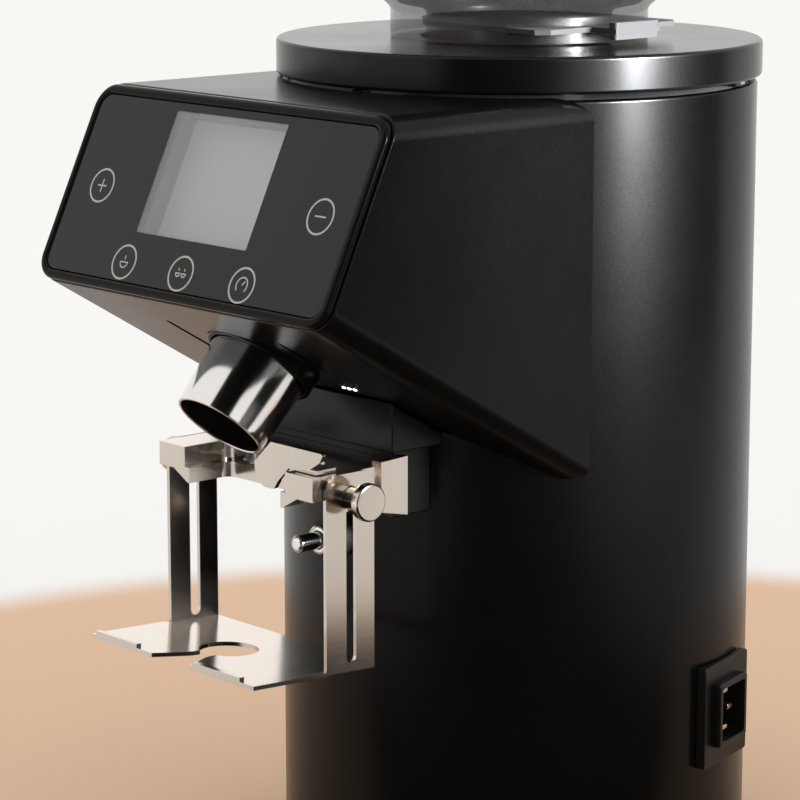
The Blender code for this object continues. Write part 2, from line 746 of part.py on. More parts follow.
def make_hook():
    """A small upright catch on the right prong that stops a portafilter's rim."""
    nose = [
        (0.0245, HOOK_TOP),
        (0.0186, HOOK_TOP),
        (0.0096, 0.1681),
        (0.0105, 0.1625),
        (0.0146, 0.1601),
        (0.0200, 0.1601),
        (0.0232, 0.1640),
        (0.0272, 0.1684),
        (0.0360, 0.1688),
        (0.0410, 0.1720),
        (0.0428, HOOK_TOP - 0.0012),
    ]
    depth = HOOK_Y[1] - HOOK_Y[0]
    at = Matrix.Translation((0, sum(HOOK_Y) / 2, 0))
    hook = plate(nose, depth, at @ Matrix.Rotation(math.radians(90), 4, "X"))
    foot = block((0.0276, 0.0400), (HOOK_Y[0], -0.1240), (FORK_Z[1] + GAP, FORK_Z[1] + 0.0018))
    join(hook, foot)
    finish(hook, "fork_hook", STEEL)


def make_tray():
    low, high = PLATE_Y
    corner = 0.0050
    rise = math.tan(TRAY_TILT)

    def tray_height(y):
        return TRAY_Z + (low - y) * rise

    outline = [
        (low, tray_height(low) - TRAY_T),
        (high, tray_height(high) - TRAY_T),
        *arc((high - corner, PLATE_TOP - corner), corner, 0, 90, 4),
        *arc((low + corner, PLATE_TOP - corner), corner, 90, 180, 4),
    ]
    frame = side_plate(outline, (TRAY_OUTER - TRAY_T, TRAY_OUTER))
    join(frame, side_plate(outline, (-TRAY_OUTER, TRAY_T - TRAY_OUTER)))
    deck = [
        (high, tray_height(high)),
        (high, tray_height(high) - TRAY_T),
        (TRAY_FRONT, tray_height(TRAY_FRONT) - TRAY_T),
        (TRAY_FRONT, tray_height(TRAY_FRONT)),
    ]
    join(frame, side_plate(deck, (-TRAY_OUTER, TRAY_OUTER)))
    edge = tray_height(TRAY_FRONT)
    for side in (-1, 1):
        wing = [
            (low - 0.001, tray_height(low)),
            (low - 0.001, tray_height(low) - TRAY_T),
            (TRAY_FRONT, edge - TRAY_T),
            (TRAY_FRONT, edge),
        ]
        join(frame, side_plate(wing, sorted((side * (TRAY_OUTER - 0.001), side * TRAY_HALF_W))))
    for lip in TRAY_LIPS_X:
        join(frame, block(lip, (TRAY_FRONT, TRAY_FRONT + 0.0020), (edge - 0.001, edge + TRAY_LIP)))
    slot_w, slot_low, slot_high = PLATE_SLOT
    slot_y = CLAMP_YZ[0]
    slot = arc((slot_y, slot_high), slot_w / 2, 0, 180, 6) + arc((slot_y, slot_low), slot_w / 2, 180, 360, 6)
    cut(frame, side_plate(slot, (-0.06, 0.06)))
    notch = arc((0, NOTCH_Y), NOTCH_R, -65, 245, 14)
    notch += [(-NOTCH_NECK, -0.1520), (-NOTCH_MOUTH, -0.1670), (NOTCH_MOUTH, -0.1670), (NOTCH_NECK, -0.1520)]
    cut(frame, plate(notch, 0.02, Matrix.Translation((0, 0, TRAY_Z))))
    finish(frame, "tray_frame", STEEL)


def make_clamp_screws():
    y, z = CLAMP_YZ
    inner, outer = CLAMP_HEAD_X
    shoulder = TRAY_OUTER + GAP
    tip = shoulder - CLAMP_THREAD_L
    for side, word in ((-1, "left"), (1, "right")):
        profile = [
            (0.0, outer),
            (CLAMP_HEAD_R - 0.0008, outer),
            (CLAMP_HEAD_R, outer - 0.0008),
            (CLAMP_HEAD_R, inner),
            (CLAMP_SHANK_R, inner),
            (CLAMP_SHANK_R, shoulder),
            (CLAMP_THREAD_R, shoulder),
            (CLAMP_THREAD_R, tip),
            (0.0, tip),
        ]
        turn = Matrix.Rotation(side * math.radians(90), 4, "Y")
        screw = turned(profile, 24, Matrix.Translation((0, y, z)) @ turn)
        finish(screw, f"clamp_screw_{word}", STEEL)


# ---- start button ---------------------------------------------------------------------------
def facing_front(y=0.0, z=BUTTON_Z):
    """Frame whose Z points out of the column's front."""
    return Matrix.Translation((0, y, z)) @ Matrix.Rotation(math.radians(90), 4, "X")


def make_button():
    nose = [(BUTTON_R * math.sin(a), -BUTTON_TIP - BUTTON_R * (1 - math.cos(a)))
            for a in [math.radians(90 * step / 5) for step in range(6)]]
    button = turned([
        *nose,
        (BUTTON_R, -BUTTON_BACK),
        (PLUNGER_R, -BUTTON_BACK),
        (PLUNGER_R, -PLUNGER_BACK),
        (0.0, -PLUNGER_BACK),
    ], SMALL_STEPS, facing_front())
    finish(button, "start_button", CHROME)
    hole = PLUNGER_R + GAP
    pocket = BUTTON_R + GAP
    front, back = BUSH_Y
    pocket_floor = -BUTTON_BACK - 0.0040
    bush = turned([
        (pocket, -front),
        (BUSH_R - 0.0012, -front),
        (BUSH_R, -front - 0.0014),
        (BUSH_R, -back),
        (BUSH_BARREL_R, -back),
        (BUSH_BARREL_R, COLUMN_BORE_R - 0.0020),
        (hole, COLUMN_BORE_R - 0.0020),
        (hole, pocket_floor),
        (pocket, pocket_floor),
    ], 16, facing_front())
    finish(bush, "button_bush", CHROME)
    boss = turned([
        (BUSH_BARREL_R + GAP, -back - GAP),
        (BOSS_R - 0.0010, -back - GAP),
        (BOSS_R, -back - GAP - 0.0010),
        (BOSS_R, 0.0800),
        (BUSH_BARREL_R + GAP, 0.0800),
    ], 16, facing_front())
    cut(boss, column_cutter())
    finish(boss, "button_boss", BLACK_PLASTIC)
    half_x, half_z = SWITCH_HALF
    switch = block((-half_x, half_x), SWITCH_Y, (BUTTON_Z - half_z, BUTTON_Z + half_z))
    finish(switch, "start_switch", BLACK_PLASTIC)


# ---- power inlet and electrics --------------------------------------------------------------
def make_inlet():
    turn = around(INLET_AZIMUTH)
    at = Matrix.Translation((0, 0, INLET_Z))
    flange_x, flange_z = [size / 2 for size in INLET_FLANGE]
    body_x, body_z = [size / 2 for size in INLET_BODY]
    flange = block((-flange_x, flange_x), (-INLET_FLANGE_R, -0.0800), (-flange_z, flange_z), turn @ at)
    cut(flange, column_cutter())
    inlet = block((-body_x, body_x), (-INLET_FACE_R, -INLET_BACK_R), (-body_z, body_z), turn @ at)
    join(inlet, flange)
    pocket_x, pocket_z, pocket_depth = INLET_POCKET
    floor = INLET_FACE_R - pocket_depth
    half_x, half_z = pocket_x / 2, pocket_z / 2
    cut(inlet, block((-half_x, half_x), (-0.10, -floor), (-half_z, half_z), turn @ at))
    pins = ((0.0, 0.0070), (0.0040, 0.0), (0.0, -0.0070))
    half_x, half_z = PIN_SIZE[0] / 2, PIN_SIZE[1] / 2
    for index, (x, z) in enumerate(pins):
        here = turn @ Matrix.Translation((x, 0, INLET_Z + z))
        pin = block((-half_x, half_x), (-INLET_FACE_R + 0.0035, -floor - GAP), (-half_z, half_z), here)
        finish(pin, f"inlet_pin_{index + 1}", BRASS)
    finish(inlet, "power_inlet", BLACK_PLASTIC)


def make_electrics():
    x = CAPACITOR_REACH * math.sin(CAPACITOR_AZIMUTH)
    y = -CAPACITOR_REACH * math.cos(CAPACITOR_AZIMUTH)
    low, high = CAPACITOR_Z
    capacitor = soften(rod(CAPACITOR_R, (x, y, low), (x, y, high), 24), 0.0012)
    finish(capacitor, "run_capacitor", ALUMINIUM)
    board = block((-POWER_BOARD_HALF_W, POWER_BOARD_HALF_W), POWER_BOARD_Y, POWER_BOARD_Z)
    finish(board, "power_board", BOARD)


# ---- motor ----------------------------------------------------------------------------------
def bell(disc_outer, rim_end, hub_end, up):
    """A motor end bell: a disc, a rim that reaches the stator and a hub for the bearing."""
    turn = 1 if up else -1
    disc_inner = disc_outer + turn * BELL_T
    profile = [
        (SHAFT_R + 0.0010, disc_outer),
        (SHAFT_R + 0.0010, disc_inner),
        (BEARING_R + GAP, disc_inner),
        (BEARING_R + GAP, hub_end),
        (HUB_R, hub_end),
        (HUB_R, disc_inner),
        (BELL_BORE_R, disc_inner),
        (BELL_BORE_R, rim_end),
        (MOTOR_R, rim_end),
        (MOTOR_R, disc_outer),
    ]
    if not up:
        profile.reverse()
    return turned(profile, MEDIUM_STEPS)


def make_motor():
    low, high = STATOR_Z
    hub = BEARING_H + GAP
    lower_floor = LOWER_BELL_Z + BELL_T
    upper_floor = UPPER_BELL_Z - BELL_T
    finish(bell(LOWER_BELL_Z, low - GAP, lower_floor + hub, True), "motor_end_bell", ALUMINIUM)
    finish(bell(UPPER_BELL_Z, high + GAP, upper_floor - hub, False), "motor_top_bell", ALUMINIUM)
    finish(ring(MOTOR_R, STATOR_BORE_R, low, high), "stator_core", IRON)
    inner, outer = WINDING_R
    finish(ring(outer, inner, low - GAP - WINDING_H, low - GAP), "winding_lower", COPPER)
    finish(ring(outer, inner, high + GAP, high + GAP + WINDING_H), "winding_upper", COPPER)
    lower_seat = lower_floor + GAP
    upper_seat = upper_floor - GAP - (BEARING_H - GAP)
    for name, seat in (("bearing_lower", lower_seat), ("bearing_upper", upper_seat)):
        bearing = ring(BEARING_R, SHAFT_R + GAP, seat, seat + BEARING_H - GAP)
        finish(bearing, name, STEEL)
    for index, angle in enumerate(STUD_ANGLES):
        x = STUD_CIRCLE_R * math.cos(math.radians(angle))
        y = STUD_CIRCLE_R * math.sin(math.radians(angle))
        stud = rod(STUD_R, (x, y, UPPER_BELL_Z + GAP), (x, y, CHAMBER_Z[0] - GAP), 12)
        finish(stud, f"motor_stud_{index + 1}", STEEL)


def make_drive():
    low, high = SHAFT_Z
    chamfer = 0.0010
    shaft = turned([
        (0, high),
        (SHAFT_R - chamfer, high),
        (SHAFT_R, high - chamfer),
        (SHAFT_R, low + chamfer),
        (SHAFT_R - chamfer, low),
        (0, low),
    ])
    finish(shaft, "drive_shaft", STEEL)
    bore = SHAFT_R + GAP
    finish(ring(ROTOR_R, bore, STATOR_Z[0] + 0.001, STATOR_Z[1] - 0.001), "rotor", IRON)
    fan_low, fan_high = FAN_Z
    fan = ring(FAN_HUB_R, bore, fan_low, fan_high)
    join(fan, ring(FAN_R, FAN_HUB_R - 0.002, fan_low, fan_low + FAN_PLATE_T))
    for index in range(FAN_BLADES):
        blade = block((FAN_HUB_R - 0.001, FAN_R - 0.001), (-FAN_BLADE_T / 2, FAN_BLADE_T / 2),
                      (fan_low + FAN_PLATE_T / 2, fan_high - 0.001), around(2 * math.pi * index / FAN_BLADES))
        join(fan, blade)
    finish(fan, "cooling_fan", BLACK_PLASTIC)


# ---- grinding chamber and burrs -------------------------------------------------------------
def make_chamber():
    low, high = CHAMBER_Z
    chamber = turned([
        (THREAD_R, high),
        (FLANGE_R, high),
        (FLANGE_R, FLANGE_Z),
        (CHAMBER_R, FLANGE_Z),
        (CHAMBER_R, low),
        (SHAFT_R + 0.0010, low),
        (SHAFT_R + 0.0010, CHAMBER_FLOOR),
        (CHAMBER_BORE_R, CHAMBER_FLOOR),
        (CHAMBER_BORE_R, THREAD_Z),
        (THREAD_R, THREAD_Z),
    ], ROUND_STEPS)
    cut(chamber, rod(CHUTE_BORE_R, (0, -0.07, CHUTE_Z), (0, -0.038, CHUTE_Z), 18))
    for index, (x, y) in enumerate(FLANGE_SCREWS):
        cut(chamber, rod(SCREW_HOLE_R, (x, y, FLANGE_Z - 0.002), (x, y, high + 0.002)))
        screw = socket_screw(x, y, high + GAP, TOP_LEDGE_Z, True)
        finish(screw, f"flange_screw_{index + 1}", STEEL)
    finish(chamber, "grind_chamber", ALUMINIUM)


def burr(low, high, teeth_up):
    """A flat burr with radial grooves in its cutting face."""
    made = ring(BURR_R, BURR_BORE_R, low, high)
    face = high if teeth_up else low
    width, depth, offset = BURR_GROOVE
    for index in range(BURR_GROOVES):
        here = around(2 * math.pi * index / BURR_GROOVES) @ Matrix.Translation((0, offset, 0))
        reach = (BURR_BORE_R - 0.002, BURR_R - 0.003)
        groove = block(reach, (-width / 2, width / 2), (face - depth, face + depth), here)
        cut(made, groove)
    return made


def make_burrs():
    finish(burr(*LOWER_BURR_Z, True), "burr_lower", STEEL)
    finish(burr(*UPPER_BURR_Z, False), "burr_upper", STEEL)
    low, high = CARRIER_Z
    bore = SHAFT_R + GAP
    hub_r, hub_h = CARRIER_HUB
    hub_top = high + hub_h
    carrier = turned([
        (bore, hub_top),
        (hub_r, hub_top),
        (hub_r, high),
        (CARRIER_R, high),
        (CARRIER_R, low),
        (bore, low),
    ], MEDIUM_STEPS)
    near, far, width, height = SWEEPER
    for side in (-1, 1):
        reach = sorted((side * near, side * far))
        join(carrier, block(reach, (-width / 2, width / 2), (high - 0.001, high + height)))
    finish(carrier, "burr_carrier_lower", ALUMINIUM)
    nut_low = hub_top + GAP
    nut = rod(NUT_R, (0, 0, nut_low), (0, 0, nut_low + NUT_H), 6)
    cut(nut, rod(bore, (0, 0, nut_low - 0.002), (0, 0, nut_low + NUT_H + 0.002), 32))
    finish(nut, "shaft_nut", STEEL)
    low, high = UPPER_CARRIER_Z
    carrier = turned([
        (0.0345, high),
        (THREAD_R - GAP, high),
        (THREAD_R - GAP, low),
        (0.0195, low),
        (0.0195, low + 0.004),
    ], ROUND_STEPS)
    finish(carrier, "burr_carrier_upper", BRASS)
    spring = ring(THREAD_R - 0.0002, CHAMBER_BORE_R + 0.0002, THREAD_Z + GAP, low - 0.0006, MEDIUM_STEPS)
    finish(spring, "wave_spring", STEEL)


# ---- collar, hopper, gate and lid -----------------------------------------------------------
def make_collar():
    low, high = COLLAR_Z
    chamfer = 0.0010
    wall, deck = 0.0032, 0.0030
    skirt_r, skirt_z = COLLAR_SKIRT
    collar = turned([
        (COLLAR_HOLE_R, high),
        (COLLAR_R - chamfer, high),
        (COLLAR_R, high - chamfer),
        (COLLAR_R, low + chamfer),
        (COLLAR_R - chamfer, low),
        (COLLAR_R - wall, low),
        (COLLAR_R - wall, high - deck),
        (skirt_r, high - deck),
        (skirt_r, skirt_z),
        (COLLAR_HOLE_R, skirt_z),
    ], ROUND_STEPS)
    finish(collar, "adjustment_collar", BLACK_PAINT)


def make_hopper():
    base_r, base_low, base_high = HOPPER_BASE
    wall = HOPPER_WALL
    hopper = turned([
        (HOPPER_R - wall, HOPPER_TOP),
        (HOPPER_R, HOPPER_TOP),
        (HOPPER_R, HOPPER_SHOULDER_Z),
        (base_r, base_high),
        (base_r, base_low),
        (HOPPER_NECK_R, base_low),
        (HOPPER_NECK_R, HOPPER_NECK_Z),
        (THROAT_R, HOPPER_NECK_Z),
        (THROAT_R, base_high - 0.0008),
        (base_r - 0.003, base_high + wall - 0.0008),
        (HOPPER_R - wall, HOPPER_SHOULDER_Z + 0.0012),
    ], ROUND_STEPS)
    slot = GATE_HALF_W + GAP
    slot_outline = [(0.070, slot), *arc((0, 0), slot, 90, 270, 16), (0.070, -slot)]
    slot_mid = sum(GATE_SLOT_Z) / 2
    cut(hopper, plate(slot_outline, GATE_SLOT_Z[1] - GATE_SLOT_Z[0], Matrix.Translation((0, 0, slot_mid))))
    finish(hopper, "hopper", SMOKED_PLASTIC)
    grip, end, tab, grip_h = GATE_TAB
    corner = 0.0040
    gate_outline = [
        (GATE_NECK_X, GATE_HALF_W - corner),
        (GATE_NECK_X - corner, GATE_HALF_W),
        *arc((0, 0), GATE_HALF_W, 90, 270, 16),
        (GATE_NECK_X - corner, -GATE_HALF_W),
        (GATE_NECK_X, corner - GATE_HALF_W),
        (GATE_NECK_X, -tab),
        (end, -tab),
        (end, tab),
        (GATE_NECK_X, tab),
    ]
    gate = plate(gate_outline, GATE_T, Matrix.Translation((0, 0, slot_mid)))
    join(gate, block((grip, end), (-tab, tab), (slot_mid - grip_h, slot_mid + grip_h)))
    finish(gate, "hopper_gate", BLACK_PLASTIC)


def make_lid():
    low = HOPPER_TOP + GAP
    lip_r = HOPPER_R - HOPPER_WALL - 0.0008
    lid = turned([
        (0.0, KNOB_TOP),
        (KNOB_R - 0.0025, KNOB_TOP),
        (KNOB_R, KNOB_TOP - 0.0025),
        (KNOB_R - 0.0020, LID_TOP + 0.0010),
        (0.0300, LID_TOP),
        (LID_R - 0.0030, LID_TOP - 0.0010),
        (LID_R, LID_TOP - 0.0030),
        (LID_R, low),
        (lip_r, low),
        (lip_r, low - 0.0050),
        (lip_r - 0.0022, low - 0.0050),
        (lip_r - 0.0022, low + 0.0010),
        (0.0, low + 0.0010),
    ], ROUND_STEPS)
    finish(lid, "hopper_lid", BLACK_PLASTIC)


make_base()
make_column()
make_head()
make_panel()
make_outlet()
make_bracket()
make_fork()
make_hook()
make_tray()
make_clamp_screws()
make_button()
make_inlet()
make_electrics()
make_motor()
make_drive()
make_chamber()
make_burrs()
make_collar()
make_hopper()
make_lid()
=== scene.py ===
"""Burr coffee grinder: the finished surfaces that go around its engineering model.

Metres, +Z up. The front of the machine faces -Y and its right flank faces +X.
"""

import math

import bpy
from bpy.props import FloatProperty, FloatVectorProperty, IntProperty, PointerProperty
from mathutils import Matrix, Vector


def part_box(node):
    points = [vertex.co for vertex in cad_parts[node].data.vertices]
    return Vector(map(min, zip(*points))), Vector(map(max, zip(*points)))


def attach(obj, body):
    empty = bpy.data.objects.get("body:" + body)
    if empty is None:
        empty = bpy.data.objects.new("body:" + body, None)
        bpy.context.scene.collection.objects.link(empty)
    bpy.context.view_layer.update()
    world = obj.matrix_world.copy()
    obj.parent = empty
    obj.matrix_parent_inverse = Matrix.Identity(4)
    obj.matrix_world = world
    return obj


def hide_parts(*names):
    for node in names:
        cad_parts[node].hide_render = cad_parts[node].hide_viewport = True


bl_info = {
    "name": "Burr coffee grinder",
    "version": (1, 0, 0),
    "blender": (4, 5, 0),
    "location": "View3D > Sidebar > Grinder",
    "description": "Finishes a burr coffee grinder around its engineering model",
    "category": "Object",
}

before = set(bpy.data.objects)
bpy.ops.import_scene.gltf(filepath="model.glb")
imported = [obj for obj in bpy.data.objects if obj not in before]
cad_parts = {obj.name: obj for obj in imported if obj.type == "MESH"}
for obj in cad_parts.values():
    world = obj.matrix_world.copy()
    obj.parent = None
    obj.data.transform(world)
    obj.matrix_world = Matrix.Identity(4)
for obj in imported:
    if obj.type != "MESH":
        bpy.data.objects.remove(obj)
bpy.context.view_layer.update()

# ---- places read from the frame -------------------------------------------------------------
COLUMN_LOW, COLUMN_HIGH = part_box("column_shell")
COLUMN_R = COLUMN_HIGH.x
BEZEL_LOW, BEZEL_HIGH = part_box("panel_bezel")
HEAD_HALF_W = BEZEL_HIGH.x
HEAD_TOP = BEZEL_HIGH.z
FORK_LOW, FORK_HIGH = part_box("portafilter_fork")
TRAY_LOW, TRAY_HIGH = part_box("tray_frame")
FOOT_LOW, FOOT_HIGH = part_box("foot_pad")
PLATE_LOW, PLATE_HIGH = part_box("base_plate")
COLLAR_LOW, COLLAR_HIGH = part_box("adjustment_collar")
HOPPER_LOW, HOPPER_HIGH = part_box("hopper")
LID_LOW, LID_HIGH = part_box("hopper_lid")
GATE_LOW, GATE_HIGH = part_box("hopper_gate")

# ---- places that the boxes don't give -------------------------------------------------------
GAP = 0.0003
PANEL_TOP_Y = -0.1320
PANEL_BOTTOM = Vector((0.0, BEZEL_LOW.y, 0.2260))
UNDERSIDE_SLOPE = math.radians(30.3)
SPOUT_TILT = math.radians(42.4)
SPOUT_MOUTH = Vector((0.0, -0.1423, 0.1800))
SPOUT_RING = (0.0255, 0.0370)             # from the mouth, along the spout
SPOUT_RING_R = 0.0205
CLAMP_YZ = (-0.1203, 0.1588)
BUTTON_Z = 0.1325
INLET_AZIMUTH = math.radians(106.0)
INLET_Z = 0.0645
LIGHT_AT = (0.0250, 0.0678)               # X, and distance down the underside from the panel

PANEL_RISE = math.atan2(HEAD_TOP - PANEL_BOTTOM.z, PANEL_TOP_Y - PANEL_BOTTOM.y)
PANEL_LENGTH = math.hypot(HEAD_TOP - PANEL_BOTTOM.z, PANEL_TOP_Y - PANEL_BOTTOM.y)


# ---- what a user would change ---------------------------------------------------------------
def metres(name, description, value):
    return FloatProperty(name=name, description=description, default=value, min=0.0, unit="LENGTH")


def colour(name, description, value):
    return FloatVectorProperty(name=name, description=description, subtype="COLOR", size=3,
                               min=0.0, max=1.0, default=value)


class GrinderSizes(bpy.types.PropertyGroup):
    """Sizes of the finished surfaces."""

    round_steps: IntProperty(
        name="Round steps", description="Sides of the large round pieces", default=192, min=24)
    small_steps: IntProperty(
        name="Small steps", description="Sides of the small round pieces", default=64, min=12)
    edge: metres("Edge", "Radius of the fork's edges", 0.0003)
    wall: metres("Shell wall", "Wall of the column and the head", 0.0025)
    head_corner: metres("Head corner", "Radius of the head's long edges", 0.0085)
    rim: metres("Bezel rim", "Width of the rim around the glass", 0.0034)
    key_ring: metres("Key ring", "Outer radius of a touch key's ring", 0.0064)
    print_width: metres("Print width", "Line width of the keys' print", 0.0007)
    tray_gauge: metres("Tray gauge", "Thickness of the tray's sheet", 0.0015)


class GrinderColours(bpy.types.PropertyGroup):
    """Colours of the finishes."""

    paint: colour("Paint", "Satin black paint", (0.0036, 0.0034, 0.0034))
    plastic: colour("Plastic", "Black plastic", (0.0075, 0.0075, 0.0075))
    glass: colour("Glass", "The panel's printed glass", (0.0052, 0.0044, 0.0037))
    ink: colour("Ink", "The keys' print", (0.36, 0.35, 0.33))
    screen: colour("Screen", "The blank display", (0.26, 0.25, 0.235))
    steel: colour("Steel", "Polished steel", (0.64, 0.575, 0.51))
    chrome: colour("Chrome", "Chromium plate", (0.86, 0.85, 0.84))
    smoke: colour("Smoke", "Smoked hopper plastic", (0.30, 0.27, 0.24))
    floor: colour("Floor", "The pale floor", (0.78, 0.53, 0.36))


# ---- shader recipes -------------------------------------------------------------------------
class Value:
    """A shader socket. Python arithmetic on it adds Math nodes."""

    def __init__(self, recipe, socket):
        self.recipe = recipe
        self.socket = socket

    def math(self, operation, first, second=0.0):
        return self.recipe.node("ShaderNodeMath", {"operation": operation}, {0: first, 1: second})

    def __add__(self, other):
        return self.math("ADD", self, other)

    __radd__ = __add__

    def __sub__(self, other):
        return self.math("SUBTRACT", self, other)

    def __rsub__(self, other):
        return self.math("SUBTRACT", other, self)

    def __mul__(self, other):
        return self.math("MULTIPLY", self, other)

    __rmul__ = __mul__

    def __pow__(self, other):
        return self.math("POWER", self, other)

    def __lt__(self, other):
        return self.math("LESS_THAN", self, other)


class Recipe:
    """A material in the making, around one Principled shader."""

    def __init__(self, name, **constants):
        self.material = bpy.data.materials.new(name)
        self.material.use_nodes = True
        self.tree = self.material.node_tree
        self.shader = self.tree.nodes["Principled BSDF"]
        for socket, value in constants.items():
            self.feed(self.shader.inputs[socket.replace("_", " ")], value)
        self.place = self.node("ShaderNodeTexCoord", output="Object")

    def feed(self, socket, value):
        if isinstance(value, Value):
            self.tree.links.new(value.socket, socket)
        else:
            socket.default_value = value

    def node(self, kind, settings=None, inputs=None, output=0):
        """Any other node: its settings first, then the values or links of its sockets."""
        made = self.tree.nodes.new(kind)
        for key, value in (settings or {}).items():
            setattr(made, key, value)
        for key, value in (inputs or {}).items():
            self.feed(made.inputs[key], value)
        return Value(self, made.outputs[output])

    def noise(self, scale, detail=2.0, place=None):
        return self.node("ShaderNodeTexNoise", inputs={
            "Vector": place or self.place, "Scale": scale, "Detail": detail})

    def stretched(self, scale, turn=(0.0, 0.0, 0.0)):
        return self.node("ShaderNodeMapping", inputs={
            "Vector": self.place, "Scale": scale, "Rotation": turn})

    def axis(self, name):
        return self.node("ShaderNodeSeparateXYZ", inputs={0: self.place}, output=name)

    def mix(self, factor, one, other):
        blend = {0: factor, 6: one, 7: other}
        return self.node("ShaderNodeMix", {"data_type": "RGBA"}, blend, output=2)

    def length(self, place):
        return self.node("ShaderNodeVectorMath", {"operation": "LENGTH"}, {0: place}, output="Value")

    def sine(self, distance, pitch):
        """Even waves, one for each pitch of the distance."""
        return self.node("ShaderNodeMath", {"operation": "SINE"}, {0: distance * (2 * math.pi / pitch)})

    def set(self, socket, value):
        self.feed(self.shader.inputs[socket], value)

    def glow(self, tone):
        self.set("Base Color", tone)
        self.set("Emission Color", tone)

    def bump(self, height, strength, distance):
        bump = self.node("ShaderNodeBump", inputs={
            "Height": height, "Strength": strength, "Distance": distance})
        self.set("Normal", bump)


def opaque(shade, share=1.0):
    return (*(part * share for part in shade), 1.0)


def blotched(recipe, shade, low, high, scale, detail=3.0):
    """Base colour that wanders between two strengths of one shade."""
    patches = recipe.noise(scale, detail)
    recipe.set("Base Color", recipe.mix(patches, opaque(shade, low), opaque(shade, high)))
    return patches


def make_paint(name, shade, roughness, shine):
    """Satin powder coat: a fine orange peel, a little haze and faint handling marks."""
    recipe = Recipe(name, Specular_IOR_Level=shine)
    peel = recipe.noise(1100.0, 2.0)
    haze = recipe.noise(16.0, 4.0)
    blotched(recipe, shade, 0.85, 1.2, 30.0)
    recipe.set("Roughness", roughness + 0.05 * peel + 0.08 * haze - 0.06)
    recipe.bump(peel, 0.10, 0.00003)


def make_plastic(name, shade, roughness):
    """Moulded plastic with a spark-eroded grain."""
    recipe = Recipe(name, Specular_IOR_Level=0.2)
    pits = recipe.node("ShaderNodeTexVoronoi", inputs={"Vector": recipe.place, "Scale": 2400.0})
    cloud = recipe.noise(45.0, 3.0)
    blotched(recipe, shade, 0.8, 1.25, 60.0)
    recipe.set("Roughness", roughness + 0.08 * cloud)
    recipe.bump(pits, 0.25, 0.00004)


def make_brushed(name, shade, roughness, lines, strength=0.05, spread=0.07):
    """Metal polished in one direction, with fine lines and a few finger marks."""
    recipe = Recipe(name, Metallic=1.0)
    grain = recipe.noise(1.0, 4.0, recipe.stretched(lines))
    marks = recipe.noise(38.0, 4.0)
    recipe.set("Base Color", recipe.mix(grain, opaque(shade, 0.93), opaque(shade, 1.04)))
    recipe.set("Roughness", roughness + spread * grain + spread * marks ** 3.0)
    recipe.bump(grain, strength, 0.00002)


def make_turned(name, shade, roughness, centre, turn, pitch=0.00035):
    """Metal faced on a lathe: fine rings about one axis."""
    recipe = Recipe(name, Metallic=1.0)
    offset = recipe.node("ShaderNodeVectorMath", {"operation": "SUBTRACT"}, {0: recipe.place, 1: centre})
    flat = recipe.node("ShaderNodeMapping", inputs={"Vector": offset, "Rotation": turn, "Scale": (1, 1, 0)})
    rings = recipe.sine(recipe.length(flat), pitch)
    marks = blotched(recipe, shade, 0.92, 1.04, 90.0)
    recipe.set("Roughness", roughness + 0.06 * marks)
    recipe.bump(rings, 0.06, 0.00001)


def make_striped(name, shade, roughness, metallic, pitch, strength):
    """Stacked sheets or wound wire: even lines up Z."""
    recipe = Recipe(name, Metallic=metallic)
    height = recipe.axis("Z") + 0.0004 * recipe.noise(70.0)
    lines = recipe.sine(height, pitch)
    cloud = recipe.noise(120.0, 3.0)
    recipe.set("Base Color", recipe.mix(lines * 0.35 + 0.5, opaque(shade, 0.55), opaque(shade, 1.1)))
    recipe.set("Roughness", roughness + 0.15 * cloud)
    recipe.bump(lines, strength, 0.0002)


def make_cast(name, shade, roughness):
    """Cast metal with a sanded skin."""
    recipe = Recipe(name, Metallic=1.0)
    sand = recipe.noise(900.0, 3.0)
    blotched(recipe, shade, 0.85, 1.1, 80.0)
    recipe.set("Roughness", roughness + 0.12 * sand)
    recipe.bump(sand, 0.3, 0.00008)


def make_board(name):
    """Green solder mask with lighter tracks and tinned pads."""
    recipe = Recipe(name)
    tracks = recipe.node("ShaderNodeTexBrick", inputs={
        "Vector": recipe.place, "Scale": 130.0, "Mortar Size": 0.035,
        "Color1": (0.012, 0.10, 0.045, 1), "Color2": (0.010, 0.085, 0.040, 1),
        "Mortar": (0.03, 0.17, 0.07, 1)})
    spots = recipe.node("ShaderNodeTexVoronoi", inputs={"Vector": recipe.place, "Scale": 240.0})
    pads = spots < 0.16
    recipe.set("Base Color", recipe.mix(pads, tracks, (0.55, 0.56, 0.58, 1.0)))
    recipe.set("Metallic", pads)
    recipe.set("Roughness", 0.42 - 0.12 * pads)
    recipe.bump(pads, 0.4, 0.0001)


def make_rubber(name):
    """Moulded rubber with a dusty bloom."""
    recipe = Recipe(name, Specular_IOR_Level=0.3)
    bloom = recipe.noise(55.0, 5.0)
    recipe.set("Base Color", recipe.mix(bloom, (0.009, 0.009, 0.009, 1), (0.028, 0.027, 0.026, 1)))
    recipe.set("Roughness", 0.68 + 0.2 * bloom)
    recipe.bump(recipe.noise(1500.0), 0.3, 0.00005)


def make_glass_print(name, shade):
    """The panel's glass, printed dark behind, with faint wiping marks."""
    recipe = Recipe(name, Specular_IOR_Level=0.30)
    wipes = recipe.noise(1.0, 4.0, recipe.stretched((22.0, 70.0, 70.0), (0.5, 0.0, 0.4)))
    smears = blotched(recipe, shade, 0.9, 1.12, 26.0, 5.0)
    recipe.set("Roughness", 0.09 + 0.10 * wipes * smears)


